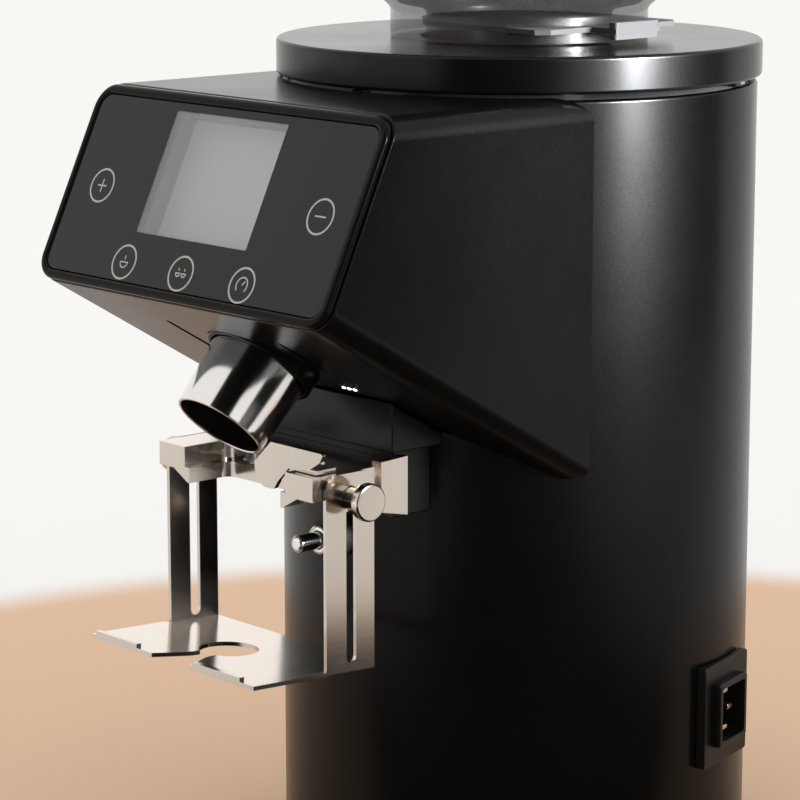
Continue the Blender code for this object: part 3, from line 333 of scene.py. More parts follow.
def make_window(name):
    """Clear cover over the display."""
    recipe = Recipe(name, Base_Color=(0.9, 0.92, 0.95, 1.0), Specular_IOR_Level=0.6)
    smears = recipe.noise(30.0, 4.0)
    recipe.set("Roughness", 0.06 + 0.06 * smears)
    recipe.set("Alpha", 0.10 + 0.06 * smears)
    recipe.material.surface_render_method = "BLENDED"


def make_screen(name, shade, glow):
    """Blank display: an even sheet with a cell grid too fine to read. Its faint glow is painted light."""
    recipe = Recipe(name, Emission_Strength=glow)
    cells = recipe.node("ShaderNodeTexVoronoi", inputs={"Vector": recipe.place, "Scale": 2600.0})
    cloud = recipe.noise(12.0, 2.0)
    tone = recipe.mix(cloud, opaque(shade, 0.92), opaque(shade, 1.06))
    recipe.glow(tone)
    recipe.set("Roughness", 0.38 + 0.1 * cloud)
    recipe.bump(cells, 0.04, 0.00002)


def make_ink(name, shade):
    """Screen-printed ink, with a faint glow that is painted light."""
    recipe = Recipe(name, Emission_Strength=0.10)
    speckle = recipe.noise(2200.0, 3.0)
    tone = recipe.mix(speckle, opaque(shade, 0.8), opaque(shade, 1.12))
    recipe.glow(tone)
    recipe.set("Roughness", 0.45 + 0.1 * speckle)


def make_lamp(name, glow):
    """A lit lamp behind a diffusing dome."""
    recipe = Recipe(name, Emission_Strength=glow, Roughness=0.3)
    core = recipe.noise(900.0)
    tone = recipe.mix(core, (1.0, 0.97, 0.92, 1.0), (0.92, 0.95, 1.0, 1.0))
    recipe.glow(tone)


def make_smoked(name, shade):
    """Clear smoked plastic."""
    recipe = Recipe(name, Transmission_Weight=0.92, IOR=1.49, Specular_IOR_Level=0.5)
    haze = blotched(recipe, shade, 0.92, 1.08, 24.0, 4.0)
    recipe.set("Roughness", 0.04 + 0.06 * haze)


def make_floor(name, shade):
    """Pale floor, warm near the object and white further off."""
    recipe = Recipe(name, Roughness=0.75, Specular_IOR_Level=0.15)
    fade = recipe.node("ShaderNodeMapRange", {"interpolation_type": "SMOOTHSTEP"}, {
        "Value": recipe.length(recipe.place), "From Min": 0.395, "From Max": 0.445})
    recipe.set("Base Color", recipe.mix(fade, opaque(shade), (0.95, 0.95, 0.94, 1.0)))


# ---- modelling helpers ----------------------------------------------------------------------
def select_only(obj):
    """Make one object the only selected and the active one."""
    bpy.ops.object.select_all(action="DESELECT")
    obj.select_set(True)
    bpy.context.view_layer.objects.active = obj


def edit():
    bpy.ops.object.mode_set(mode="EDIT")


def leave_edit():
    bpy.ops.object.mode_set(mode="OBJECT")


def chain(points):
    """A new mesh left in edit mode: one vertex, extruded from point to point."""
    bpy.ops.object.select_all(action="DESELECT")
    bpy.ops.mesh.primitive_plane_add(size=0.001)
    edit()
    bpy.ops.mesh.merge(type="CENTER")
    bpy.ops.transform.translate(value=points[0])
    for here, there in zip(points, points[1:]):
        step = Vector(there) - Vector(here)
        bpy.ops.mesh.extrude_region_move(TRANSFORM_OT_translate={"value": step})
    bpy.ops.mesh.select_all(action="SELECT")
    return bpy.context.object


def rounded(profile, radius, steps=4, closed=False):
    """Replace each corner of a flat outline by an arc. A corner may give its own radius third."""
    made = []
    count = len(profile)
    for index, corner in enumerate(profile):
        here = Vector(corner[:2])
        if not closed and index in (0, count - 1):
            made.append(tuple(here))
            continue
        before = Vector(profile[index - 1][:2]) - here
        after = Vector(profile[(index + 1) % count][:2]) - here
        half = before.angle(after) / 2
        wanted = corner[2] if len(corner) > 2 else radius
        reach = min(wanted / math.tan(half), before.length * 0.49, after.length * 0.49)
        if wanted <= 0 or half > math.radians(89):
            made.append(tuple(here))
            continue
        fitted = reach * math.tan(half)
        middle = here + (before.normalized() + after.normalized()).normalized() * (fitted / math.sin(half))
        start = here + before.normalized() * reach - middle
        end = here + after.normalized() * reach - middle
        sweep = start.angle_signed(end)
        for step in range(steps + 1):
            turn = Matrix.Rotation(-sweep * step / steps, 2)
            made.append(tuple(middle + turn @ start))
    return made


def turned(profile, steps, radius=0.0003, arc_steps=4):
    """Spin an outline of (radius, height) about Z. One that starts off the axis is closed up."""
    ring = profile[0][0] > 0.0
    outline = rounded(profile, radius, arc_steps, closed=ring)
    if ring:
        outline.append(outline[0])
    obj = chain([(r, 0.0, z) for r, z in outline])
    bpy.ops.mesh.remove_doubles(threshold=0.000002)
    bpy.ops.mesh.spin(steps=steps, angle=2 * math.pi, center=(0, 0, 0), axis=(0, 0, 1))
    bpy.ops.mesh.select_all(action="SELECT")
    bpy.ops.mesh.remove_doubles(threshold=0.000002)
    bpy.ops.mesh.dissolve_degenerate(threshold=0.000001)
    bpy.ops.mesh.select_all(action="SELECT")
    bpy.ops.mesh.normals_make_consistent(inside=False)
    leave_edit()
    return obj


def slab(outline, low, high, radius=0.0, arc_steps=6):
    """Extrude a flat (X, Y) outline from one height to another."""
    points = rounded(outline, radius, arc_steps, closed=True)
    obj = chain([(x, y, low) for x, y in [*points, points[0]]])
    bpy.ops.mesh.remove_doubles(threshold=0.000002)
    bpy.ops.mesh.edge_face_add()
    bpy.ops.mesh.extrude_region_move(TRANSFORM_OT_translate={"value": (0, 0, high - low)})
    bpy.ops.mesh.select_all(action="SELECT")
    bpy.ops.mesh.normals_make_consistent(inside=False)
    leave_edit()
    return obj


def flank(outline, low, high, radius=0.0, arc_steps=6):
    """A slab whose outline is given as (Y, Z), from one X to another."""
    obj = slab(outline, low, high, radius, arc_steps)
    stand = Matrix(((0, 0, 1, 0), (1, 0, 0, 0), (0, 1, 0, 0), (0, 0, 0, 1)))
    return moved(obj, stand)


def facing(outline, low, high, radius=0.0, arc_steps=6):
    """A slab whose outline is given as (X, Z), from one Y to another."""
    obj = slab(outline, -high, -low, radius, arc_steps)
    return moved(obj, Matrix.Rotation(math.radians(90), 4, "X"))


def oblong(x, y):
    """The four corners of a rectangle, from the lowest and highest of each way."""
    return [(x[0], y[0]), (x[1], y[0]), (x[1], y[1]), (x[0], y[1])]


def box(x, y, z, matrix=None):
    """A block, from the lowest and highest of each axis."""
    lows, highs = Vector((x[0], y[0], z[0])), Vector((x[1], y[1], z[1]))
    bpy.ops.object.select_all(action="DESELECT")
    bpy.ops.mesh.primitive_cube_add(size=1.0, location=(lows + highs) / 2)
    obj = bpy.context.object
    obj.scale = highs - lows
    bpy.ops.object.transform_apply(location=True, rotation=True, scale=True)
    return moved(obj, matrix) if matrix else obj


def rod(radius, start, end, steps=48):
    """A round bar between two points."""
    start, end = Vector(start), Vector(end)
    bpy.ops.object.select_all(action="DESELECT")
    bpy.ops.mesh.primitive_cylinder_add(vertices=steps, radius=radius, depth=(end - start).length)
    turn = (end - start).to_track_quat("Z", "X")
    return moved(bpy.context.object, Matrix.LocRotScale((start + end) / 2, turn, None))


def moved(obj, matrix):
    """Put an object in its place and apply it to the mesh."""
    select_only(obj)
    obj.matrix_world = matrix @ obj.matrix_world
    bpy.ops.object.transform_apply(location=True, rotation=True, scale=True)
    return obj


def apply(obj, kind, **settings):
    select_only(obj)
    step = obj.modifiers.new(kind.lower(), kind)
    for key, value in settings.items():
        setattr(step, key, value)
    bpy.ops.object.modifier_apply(modifier=step.name)
    return obj


def combine(obj, operation, tools):
    for tool in tools:
        apply(obj, "BOOLEAN", operation=operation, solver="EXACT", object=tool)
        bpy.data.objects.remove(tool, do_unlink=True)
    return obj


def cut(obj, *tools):
    return combine(obj, "DIFFERENCE", tools)


def fuse(obj, *tools):
    return combine(obj, "UNION", tools)


def soften(obj, width, segments=3, angle=30):
    """Round every sharp edge, after clearing the scraps that cuts leave."""
    select_only(obj)
    edit()
    bpy.ops.mesh.select_all(action="SELECT")
    bpy.ops.mesh.remove_doubles(threshold=0.00001)
    bpy.ops.mesh.dissolve_limited(angle_limit=math.radians(0.5))
    leave_edit()
    return apply(obj, "BEVEL", width=width, segments=segments, limit_method="ANGLE",
                 angle_limit=math.radians(angle), harden_normals=False, miter_outer="MITER_ARC")


def bevel_where(obj, test, offset, segments):
    """Bevel the edges whose two ends pass the test."""
    select_only(obj)
    edit()
    bpy.ops.mesh.select_mode(type="EDGE")
    bpy.ops.mesh.select_all(action="DESELECT")
    leave_edit()
    vertices = obj.data.vertices
    for edge in obj.data.edges:
        edge.select = test(*(vertices[index].co for index in edge.vertices))
    edit()
    bpy.ops.mesh.bevel(offset=offset, segments=segments, affect="EDGES")
    bpy.ops.mesh.select_mode(type="VERT")
    leave_edit()
    return obj


def joined(name, pieces):
    """Several meshes as one object."""
    bpy.ops.object.select_all(action="DESELECT")
    for piece in pieces:
        piece.select_set(True)
    bpy.context.view_layer.objects.active = pieces[0]
    bpy.ops.object.join()
    pieces[0].name = name
    return pieces[0]


def settle(obj, name, finish, body, replaces=(), angle=30):
    """Name a piece, smooth it, give it its finish and hand it to its body."""
    select_only(obj)
    obj.name = name
    obj.data.name = name
    bpy.ops.object.shade_smooth_by_angle(angle=math.radians(angle))
    apply(obj, "WEIGHTED_NORMAL", keep_sharp=True)
    obj.data.materials.clear()
    obj.data.materials.append(bpy.data.materials[finish])
    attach(obj, body)
    if replaces:
        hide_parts(*replaces)
    return obj


def sizes():
    return bpy.context.scene.grinder_sizes


# ---- reference frames of the slanted faces --------------------------------------------------
def panel_frame(depth=0.0):
    """X right, Y up the panel, Z out of it. Depth is measured inwards."""
    middle = Vector((0.0, (PANEL_TOP_Y + PANEL_BOTTOM.y) / 2, (HEAD_TOP + PANEL_BOTTOM.z) / 2))
    turn = Matrix.Rotation(PANEL_RISE, 4, "X")
    return Matrix.Translation(middle) @ turn @ Matrix.Translation((0, 0, -depth))


def underside_frame(x, distance):
    """X right, Y down the slope, Z out of the head."""
    down = Vector((0, math.cos(UNDERSIDE_SLOPE), -math.sin(UNDERSIDE_SLOPE)))
    turn = Matrix.Rotation(-UNDERSIDE_SLOPE, 4, "X") @ Matrix.Rotation(math.pi, 4, "Y")
    return Matrix.Translation(PANEL_BOTTOM + Vector((x, 0, 0)) + down * distance) @ turn


def spout_frame():
    """At the middle of the spout's mouth, with Z up the spout."""
    return Matrix.Translation(SPOUT_MOUTH) @ Matrix.Rotation(-SPOUT_TILT, 4, "X")


def front_frame(z):
    """Z points out of the column's front."""
    return Matrix.Translation((0, 0, z)) @ Matrix.Rotation(math.radians(90), 4, "X")


def inlet_frame():
    return Matrix.Rotation(INLET_AZIMUTH, 4, "Z") @ Matrix.Translation((0, 0, INLET_Z))


def head_block(inset, front, back=-0.0390):
    """The head's wedge, its walls moved inwards by inset and its front by front."""
    inwards = Vector((math.sin(PANEL_RISE), -math.cos(PANEL_RISE)))
    low = Vector((PANEL_BOTTOM.y, PANEL_BOTTOM.z))
    start = low + inwards * front
    lean = 1 / math.tan(PANEL_RISE)
    slope = math.tan(UNDERSIDE_SLOPE)
    floor = low.y + inset / math.cos(UNDERSIDE_SLOPE)
    top = HEAD_TOP - inset
    meet = (floor - slope * (start.x - low.x) + slope * lean * start.y) / (1 + slope * lean)
    outline = [
        (start.x + (top - start.y) * lean, top),
        (start.x + (meet - start.y) * lean, meet),
        (back, floor - slope * (back - low.x)),
        (back, top),
    ]
    half = HEAD_HALF_W - inset

    def is_long_edge(one, other):
        return abs(one.x - other.x) < 1e-5 and abs(one.y - other.y) > 0.05

    return bevel_where(flank(outline, -half, half), is_long_edge, sizes().head_corner - inset, 20)


def column_tool():
    """The column and its gap, to cut out of what stands against it."""
    return rod(COLUMN_R + GAP, (0, 0, -0.01), (0, 0, 0.40), sizes().round_steps)


# ---- operators ------------------------------------------------------------------------------
class GRINDER_OT_finishes(bpy.types.Operator):
    """Make every finish of the grinder"""

    bl_idname = "grinder.finishes"
    bl_label = "Finishes"

    def execute(self, context):
        shades = context.scene.grinder_colours
        steel = tuple(shades.steel)
        make_paint("satin_black_paint", shades.paint, 0.25, 0.13)
        make_paint("collar_black_paint", shades.paint, 0.24, 0.22)
        make_paint("rim_black_paint", shades.paint, 0.20, 0.09)
        make_plastic("black_plastic", shades.plastic, 0.42)
        make_plastic("inlet_plastic", tuple(part * 0.6 for part in shades.plastic), 0.36)
        make_glass_print("printed_glass", shades.glass)
        make_window("display_window")
        # The display sheet glows faintly as painted light. The walls of its well are the same finish made
        # darker and dimmer: painted shade in the well.
        make_screen("display_face", shades.screen, 0.10)
        make_screen("display_wall", tuple(part * 0.36 for part in shades.screen), 0.03)
        # The keys' print is real ink; its faint glow is painted light.
        make_ink("key_print", shades.ink)
        make_lamp("work_lamp", 4.0)
        make_brushed("fork_steel", steel, 0.13, (40.0, 900.0, 900.0))
        make_brushed("tray_steel", steel, 0.11, (60.0, 60.0, 2200.0), strength=0.04)
        make_brushed("plain_steel", (0.55, 0.55, 0.56), 0.24, (300.0, 300.0, 300.0))
        make_brushed("blackened_steel", (0.02, 0.02, 0.02), 0.5, (300.0, 300.0, 300.0))
        make_brushed("chrome", tuple(shades.chrome), 0.012, (200.0, 200.0, 200.0), 0.0, 0.015)
        make_turned("clamp_steel", steel, 0.16, (0.0, *CLAMP_YZ), (0.0, math.radians(90), 0.0))
        upright_axis = ((0.0, 0.0, 0.0), (0.0, 0.0, 0.0))
        make_turned("machined_aluminium", (0.60, 0.61, 0.62), 0.32, *upright_axis, 0.0006)
        make_turned("machined_brass", (0.68, 0.48, 0.20), 0.28, *upright_axis, 0.0006)
        make_turned("hardened_steel", (0.42, 0.42, 0.44), 0.26, *upright_axis, 0.0004)
        make_brushed("contact_brass", (0.78, 0.60, 0.42), 0.22, (700.0, 700.0, 700.0))
        make_cast("cast_aluminium", (0.55, 0.56, 0.57), 0.42)
        make_striped("laminated_iron", (0.24, 0.24, 0.25), 0.5, 1.0, 0.0005, 0.5)
        make_striped("copper_winding", (0.52, 0.20, 0.08), 0.3, 1.0, 0.0009, 0.9)
        make_board("circuit_board")
        make_rubber("foot_rubber")
        make_smoked("smoked_plastic", shades.smoke)
        return {"FINISHED"}


class GRINDER_OT_column(bpy.types.Operator):
    """Turn the painted column with its inner ledges and cut its openings"""

    bl_idname = "grinder.column"
    bl_label = "Column"

    def execute(self, context):
        outer = COLUMN_R
        bore = outer - sizes().wall
        ledge = 0.0770
        low, high = COLUMN_LOW.z, COLUMN_HIGH.z
        base_ledge = (PLATE_HIGH.z + GAP, PLATE_HIGH.z + 0.0038)
        top_ledge = (0.2790, 0.2825)
        profile = [
            (bore, high, 0.0003), (outer, high, 0.0012), (outer, low, 0.0012), (bore, low, 0.0003),
            (bore, base_ledge[0]), (ledge, base_ledge[0]), (ledge, base_ledge[1]), (bore, base_ledge[1]),
            (bore, top_ledge[0]), (ledge, top_ledge[0]), (ledge, top_ledge[1]), (bore, top_ledge[1]),
        ]
        column = turned(profile, sizes().round_steps)
        into_head = box((-0.0600, 0.0600), (-0.1, -0.05), (0.1880, 0.2750))
        for_inlet = box((-0.0113, 0.0113), (-0.1, -0.07), (-0.0123, 0.0123), inlet_frame())
        for_button = rod(0.0046, (0, -0.1, BUTTON_Z), (0, -0.07, BUTTON_Z))
        cut(column, into_head, for_inlet, for_button)
        settle(column, "painted_column", "satin_black_paint", "housing", ["column_shell"])
        return {"FINISHED"}


class GRINDER_OT_base(bpy.types.Operator):
    """Turn the rubber foot with its grip grooves"""

    bl_idname = "grinder.base"
    bl_label = "Foot"

    def execute(self, context):
        foot_r = FOOT_HIGH.x
        profile = [(0, FOOT_HIGH.z), (foot_r, FOOT_HIGH.z, 0.0004), (foot_r, 0.0, 0.0009)]
        groove_w, groove_depth = 0.002, 0.0008
        for outer in (0.072, 0.064, 0.056):
            inner = outer - groove_w
            profile += [(outer, 0.0), (outer, groove_depth), (inner, groove_depth), (inner, 0.0)]
        foot = turned([*profile, (0, 0.0)], sizes().round_steps, 0.0002, 2)
        settle(foot, "grooved_foot", "foot_rubber", "housing", ["foot_pad"])
        return {"FINISHED"}


class GRINDER_OT_head(bpy.types.Operator):
    """Fold up the head's painted shell and set the work light into its underside"""

    bl_idname = "grinder.head"
    bl_label = "Head"

    SLOT = (0.0015, 0.0120)                         # half width and half length
    SLOT_AT = (0.0303, 0.0380)                      # X to either side, and down the underside
    LAMP_R, LAMP_FLATNESS, LAMP_PITCH = 0.00085, 0.8, 0.0029

    def execute(self, context):
        depth = 0.0033                              # of the bezel that stands in front
        head = head_block(0.0, depth)
        cut(head, column_tool())
        to_front = panel_frame(depth).inverted()
        bevel_where(head, lambda *ends: all(abs((to_front @ end).z) < 1e-5 for end in ends), 0.0006, 4)
        inner = head_block(sizes().wall, -0.01, back=-0.02)
        cut(head, inner, moved(rod(SPOUT_RING_R + GAP, (0, 0, 0.010), (0, 0, 0.045), 96), spout_frame()))
        half_w, half_l = self.SLOT
        slot_x, slot_down = self.SLOT_AT
        for side in (-1, 1):
            slot = slab(oblong((-half_w, half_w), (-half_l, half_l)), -0.006, 0.006, 0.00148, 5)
            cut(head, moved(slot, underside_frame(side * slot_x, slot_down)))
        light = underside_frame(*LIGHT_AT)
        cut(head, box((-0.0048, 0.0048), (-0.0038, 0.0038), (-0.006, 0.006), light))
        settle(head, "head_cover", "satin_black_paint", "housing", ["head_shell"])
        lens = box((-0.0045, 0.0045), (-0.0035, 0.0035), (-0.0040, -0.0002), light)
        soften(lens, 0.0003)
        settle(lens, "light_housing", "black_plastic", "housing", ["work_light"])
        domes = []
        for step in (-1, 0, 1):
            bpy.ops.object.select_all(action="DESELECT")
            bpy.ops.mesh.primitive_uv_sphere_add(segments=24, ring_count=12, radius=self.LAMP_R)
            edit()
            bpy.ops.mesh.bisect(plane_co=(0, 0, 0), plane_no=(0, 0, 1), clear_inner=True, use_fill=True)
            leave_edit()
            place = Matrix.Translation((step * self.LAMP_PITCH, 0, -0.0004))
            squash = Matrix.Diagonal((1, 1, self.LAMP_FLATNESS, 1))
            domes.append(moved(bpy.context.object, light @ place @ squash))
        settle(joined("lamps", domes), "work_lamps", "work_lamp", "housing")
        return {"FINISHED"}


class GRINDER_OT_panel(bpy.types.Operator):
    """Make the touch panel: bezel, printed glass, display well and the keys' print"""

    bl_idname = "grinder.panel"
    bl_label = "Touch panel"

    WINDOW = (-0.0310, 0.0285, -0.0148, 0.0300)     # left, right, bottom and top
    KEYS = ((-0.0579, -0.0005), (0.0591, 0.0006), (-0.0316, -0.0260), (0.0, -0.0264), (0.0325, -0.0265))
    INK = 0.00005                                   # thickness of the print

    def execute(self, context):
        self.make_bezel()
        self.make_glass()
        self.make_display()
        self.make_print()
        return {"FINISHED"}

    def rectangle(self, inset):
        x = HEAD_HALF_W - inset
        y = PANEL_LENGTH / 2 - inset
        return oblong((-x, x), (-y, y))

    def make_bezel(self):
        rim = sizes().rim
        bezel = head_block(0.0002, 0.0)
        keep = box((-0.1, 0.1), (-0.1, 0.1), (-0.0030, 0.01), panel_frame())
        apply(bezel, "BOOLEAN", operation="INTERSECT", solver="EXACT", object=keep)
        bpy.data.objects.remove(keep, do_unlink=True)
        corner = sizes().head_corner - rim
        cut(bezel, moved(slab(self.rectangle(rim), -0.02, 0.02, corner, 16), panel_frame()))
        soften(bezel, 0.0013, 6, 40)
        settle(bezel, "panel_rim", "rim_black_paint", "housing", ["panel_bezel"], 60)

    def make_glass(self):
        inset = sizes().rim + GAP
        corner = sizes().head_corner - inset
        pane = moved(slab(self.rectangle(inset), -0.0038, -0.0008, corner, 16), panel_frame())
        left, right, low, high = self.WINDOW
        opening = oblong((left, right), (low, high))
        cut(pane, moved(slab(opening, -0.01, 0.01, 0.0006, 4), panel_frame()))
        soften(pane, 0.0002, 2, 40)
        settle(pane, "printed_pane", "printed_glass", "housing", ["panel_glass"])
        edge = 0.00005
        clear = oblong((left + edge, right - edge), (low + edge, high - edge))
        window = moved(slab(clear, -0.0014, -0.0009, 0.0006, 4), panel_frame())
        settle(window, "clear_window", "display_window", "housing")

    def make_display(self):
        left, right, low, high = self.WINDOW
        wall, top, floor = 0.0012, -0.0041, -0.0106
        well = box((left - wall, right + wall), (low - wall, high + wall), (floor - 0.0014, top))
        cut(well, box((left, right), (low, high), (floor, 0.01)))
        soften(well, 0.00015, 2)
        moved(well, panel_frame())
        settle(well, "display_well", "display_wall", "housing", ["display_module"])
        face = box((left + 0.0001, right - 0.0001), (low + 0.0001, high - 0.0001), (floor, floor + 0.0006))
        soften(face, 0.0001, 2)
        moved(face, panel_frame())
        settle(face, "display_sheet", "display_face", "housing")

    def bar(self, start, end, width):
        """A printed stroke between two points."""
        start, end = Vector((*start, 0)), Vector((*end, 0))
        along = end - start
        half, reach = width / 2, along.length / 2
        outline = oblong((-reach, reach), (-half, half))
        stroke = slab(outline, 0.0, self.INK, half * 0.98, 4)
        turn = Matrix.Rotation(math.atan2(along.y, along.x), 4, "Z")
        return moved(stroke, Matrix.Translation((start + end) / 2) @ turn)

    def ring(self, centre, radius, width, sweep=360, start=0):
        """A printed ring, or an arc of it."""
        if sweep == 360:
            inner = radius - width
            band = [(inner, self.INK), (radius, self.INK), (radius, 0), (inner, 0)]
            made = turned(band, sizes().small_steps, 0)
            return moved(made, Matrix.Translation((*centre, 0)))
        steps = max(6, round(sweep / 9))
        spread = [math.radians(start + sweep * step / steps) for step in range(steps + 1)]
        outer = [(radius * math.cos(a), radius * math.sin(a)) for a in spread]
        inner = [((radius - width) * math.cos(a), (radius - width) * math.sin(a)) for a in reversed(spread)]
        return moved(slab([*outer, *inner], 0.0, self.INK), Matrix.Translation((*centre, 0)))

    def make_print(self):
        width = sizes().print_width
        fine = width * 0.75
        strokes = [self.ring(key, sizes().key_ring, width) for key in self.KEYS]
        plus, minus, one, two, dial = (Vector(key) for key in self.KEYS)
        for centre, reach in ((plus, (0.0025, 0)), (plus, (0, 0.0025)), (minus, (0.0028, 0))):
            strokes.append(self.bar(centre - Vector(reach), centre + Vector(reach), fine))
        small = 0.62
        left, right = two - Vector((0.0015, 0)), two + Vector((0.0016, 0))
        for centre, scale in ((one, 1.0), (left, small), (right, small)):
            strokes += self.cup(centre, fine, scale)
        strokes.append(self.ring(dial, 0.0030, fine, 270, -45))
        strokes.append(self.bar(dial, dial + Vector((0.0012, 0.0015)), fine))
        glyphs = joined("strokes", strokes)
        moved(glyphs, panel_frame(0.0008))
        settle(glyphs, "key_marks", "key_print", "housing")

    def cup(self, centre, width, scale):
        """A plain cup: a bowl, a rim and a drop above it."""
        reach, drop_low, drop_length = 0.0022 * scale, 0.0009, 0.0016 * scale
        line = width * 0.9
        bowl = self.ring(centre, reach, line, 180, 180)
        rim = self.bar(centre + Vector((-reach, 0)), centre + Vector((reach, 0)), line)
        drop = self.bar(centre + Vector((0, drop_low)), centre + Vector((0, drop_low + drop_length)), line)
        return [bowl, rim, drop]


class GRINDER_OT_outlet(bpy.types.Operator):
    """Turn the chromed spout and the black ring that holds it"""

    bl_idname = "grinder.outlet"
    bl_label = "Outlet spout"

    def execute(self, context):
        mouth_r, tube_r, wall, taper, length = 0.0166, 0.0184, 0.0012, 0.0300, 0.0580
        spout = turned([
            (tube_r - wall, length), (tube_r, length), (tube_r, taper, 0.05), (mouth_r, 0, 0.0004),
            (mouth_r - wall, 0, 0.0004), (tube_r - wall, taper, 0.05),
        ], 128, 0.0002, 6)
        moved(spout, spout_frame())
        settle(spout, "chromed_spout", "chrome", "housing", ["outlet_spout"], 50)
        low, high = SPOUT_RING
        ring = turned([
            (tube_r + GAP, high), (SPOUT_RING_R, high), (SPOUT_RING_R, low, 0.0009),
            (tube_r + GAP, low, 0.0003),
        ], 128, 0.0003, 6)
        moved(ring, spout_frame())
        settle(ring, "spout_ring", "rim_black_paint", "housing", ["spout_collar"], 50)
        return {"FINISHED"}


class GRINDER_OT_fork(bpy.types.Operator):
    """Machine the portafilter fork, its bracket, hook and screws"""

    bl_idname = "grinder.fork"
    bl_label = "Portafilter fork"

    HALF_W = 0.0418
    FLOOR = 0.1591
    THROAT = (0.0249, -0.1175)                      # half width and back Y
    POCKET = (0.0274, -0.1155, 0.1603)              # half width, back Y and floor Z
    SCREWS = (0.0130, 0.1640)                       # X to either side, and Z
    LEAF_ANGLE = 11.0                               # how far the hook's leaf is folded back
    OPEN_END = -0.15                                # Y well in front, where a gap is open

    def gap(self, half, back):
        """The outline of a gap open at the front, rounded at the back."""
        return [(-half, self.OPEN_END, 0), (half, self.OPEN_END, 0), (half, back), (-half, back)]

    def execute(self, context):
        self.make_bracket()
        self.make_fork()
        self.make_hook()
        self.make_screws()
        return {"FINISHED"}

    def make_bracket(self):
        slope = math.tan(UNDERSIDE_SLOPE)
        front, shelf_z, half_w = -0.1000, 0.1710, 0.0420
        shelf_top = PANEL_BOTTOM.z - slope * (front - PANEL_BOTTOM.y) - 0.0006
        back = front + (shelf_top - shelf_z - 0.001) / slope
        back_top = shelf_top - slope * (back - front)
        shelf = [(front, shelf_top), (front, shelf_z), (back, shelf_z), (back, back_top)]
        bracket = flank(shelf, -half_w, half_w)
        fuse(bracket, box((-0.0380, 0.0380), (-0.0957, -0.070), (0.1470, shelf_z + 0.0005)))
        cut(bracket, column_tool())
        soften(bracket, 0.0008, 4)
        settle(bracket, "painted_bracket", "collar_black_paint", "housing", ["fork_bracket"])

    def make_fork(self):
        front, back = FORK_LOW.y, -0.0960
        top = 0.1675
        fork = box((-self.HALF_W, self.HALF_W), (front, back), (self.FLOOR, top))
        throat_half, throat_back = self.THROAT
        skirt_half = throat_half + 0.0010
        skirt_top, skirt_low = self.FLOOR + 0.0004, 0.1548
        wide_half = 0.0345
        skirt = [(-wide_half, skirt_top), (-skirt_half, skirt_low), (skirt_half, skirt_low),
                 (wide_half, skirt_top)]
        fuse(fork, facing(skirt, front, throat_back + 0.003))
        arm = [(-0.1065, 0.1515), (-0.0943, 0.1489), (-0.0943, 0.1697), (-0.1065, 0.1691)]
        for side in (-1, 1):
            fuse(fork, flank(arm, *sorted((side * 0.0388, side * 0.0436))))
            fuse(fork, rod(0.0052, (side * (self.HALF_W - GAP), *CLAMP_YZ), (side * 0.0350, *CLAMP_YZ), 64))
        pocket_half, pocket_back, pocket_floor = self.POCKET
        corner = 0.0040
        cut(fork, slab(self.gap(pocket_half, pocket_back), pocket_floor, 0.18, corner, 8))
        cut(fork, slab(self.gap(throat_half, throat_back), 0.14, 0.18, corner, 8))
        soften(fork, sizes().edge)
        settle(fork, "machined_fork", "fork_steel", "housing", ["portafilter_fork"], 40)

    def make_hook(self):
        top, front, back = 0.1764, -0.1348, -0.1330
        fold_top, fold_low = (0.0262, top), (0.0222, 0.1632)
        nose = [
            fold_top, (0.0186, top), (0.0096, 0.1681, 0.0016), (0.0105, 0.1625, 0.0016),
            (0.0146, 0.1601, 0.0016), (0.0200, 0.1601, 0.0016), fold_low,
        ]
        leaf = [
            fold_low, (0.0272, 0.1684), (0.0360, 0.1688), (0.0410, 0.1720),
            (0.0428, top - 0.0012, 0.0008), fold_top,
        ]
        hook = facing(nose, front, back, 0.0, 5)
        hinge = Vector((fold_low[0], front, fold_low[1]))
        fold = Vector((fold_top[0] - fold_low[0], 0.0, fold_top[1] - fold_low[1]))
        swing = Matrix.Rotation(math.radians(self.LEAF_ANGLE), 4, fold)
        bend = Matrix.Translation(hinge) @ swing @ Matrix.Translation(-hinge)
        fuse(hook, moved(facing(leaf, front, back, 0.0, 5), bend))
        fuse(hook, box((0.0290, 0.0400), (-0.1326, -0.1240), (0.1678, 0.1693)))
        soften(hook, 0.00025)
        settle(hook, "polished_hook", "fork_steel", "housing", ["fork_hook"], 40)

    def make_screws(self):
        x, z = self.SCREWS
        head_r, head_h, shank_r = 0.0030, 0.0020, 0.0016
        seat = -self.POCKET[1] + GAP
        for side, word in ((-1, "1"), (1, "2")):
            screw = turned([
                (0, seat + head_h), (head_r, seat + head_h, 0.0004), (head_r, seat), (shank_r, seat),
                (shank_r, 0.0905), (0, 0.0905),
            ], 48, 0.0001, 4)
            socket = rod(0.0014, (0, 0, seat + head_h - 0.0013), (0, 0, seat + head_h + 0.001), 6)
            cut(screw, socket)
            moved(screw, Matrix.Translation((side * x, 0, 0)) @ front_frame(z))
            settle(screw, "socket_screw_" + word, "plain_steel", "housing",
                   ["fork_screw_" + word], 40)


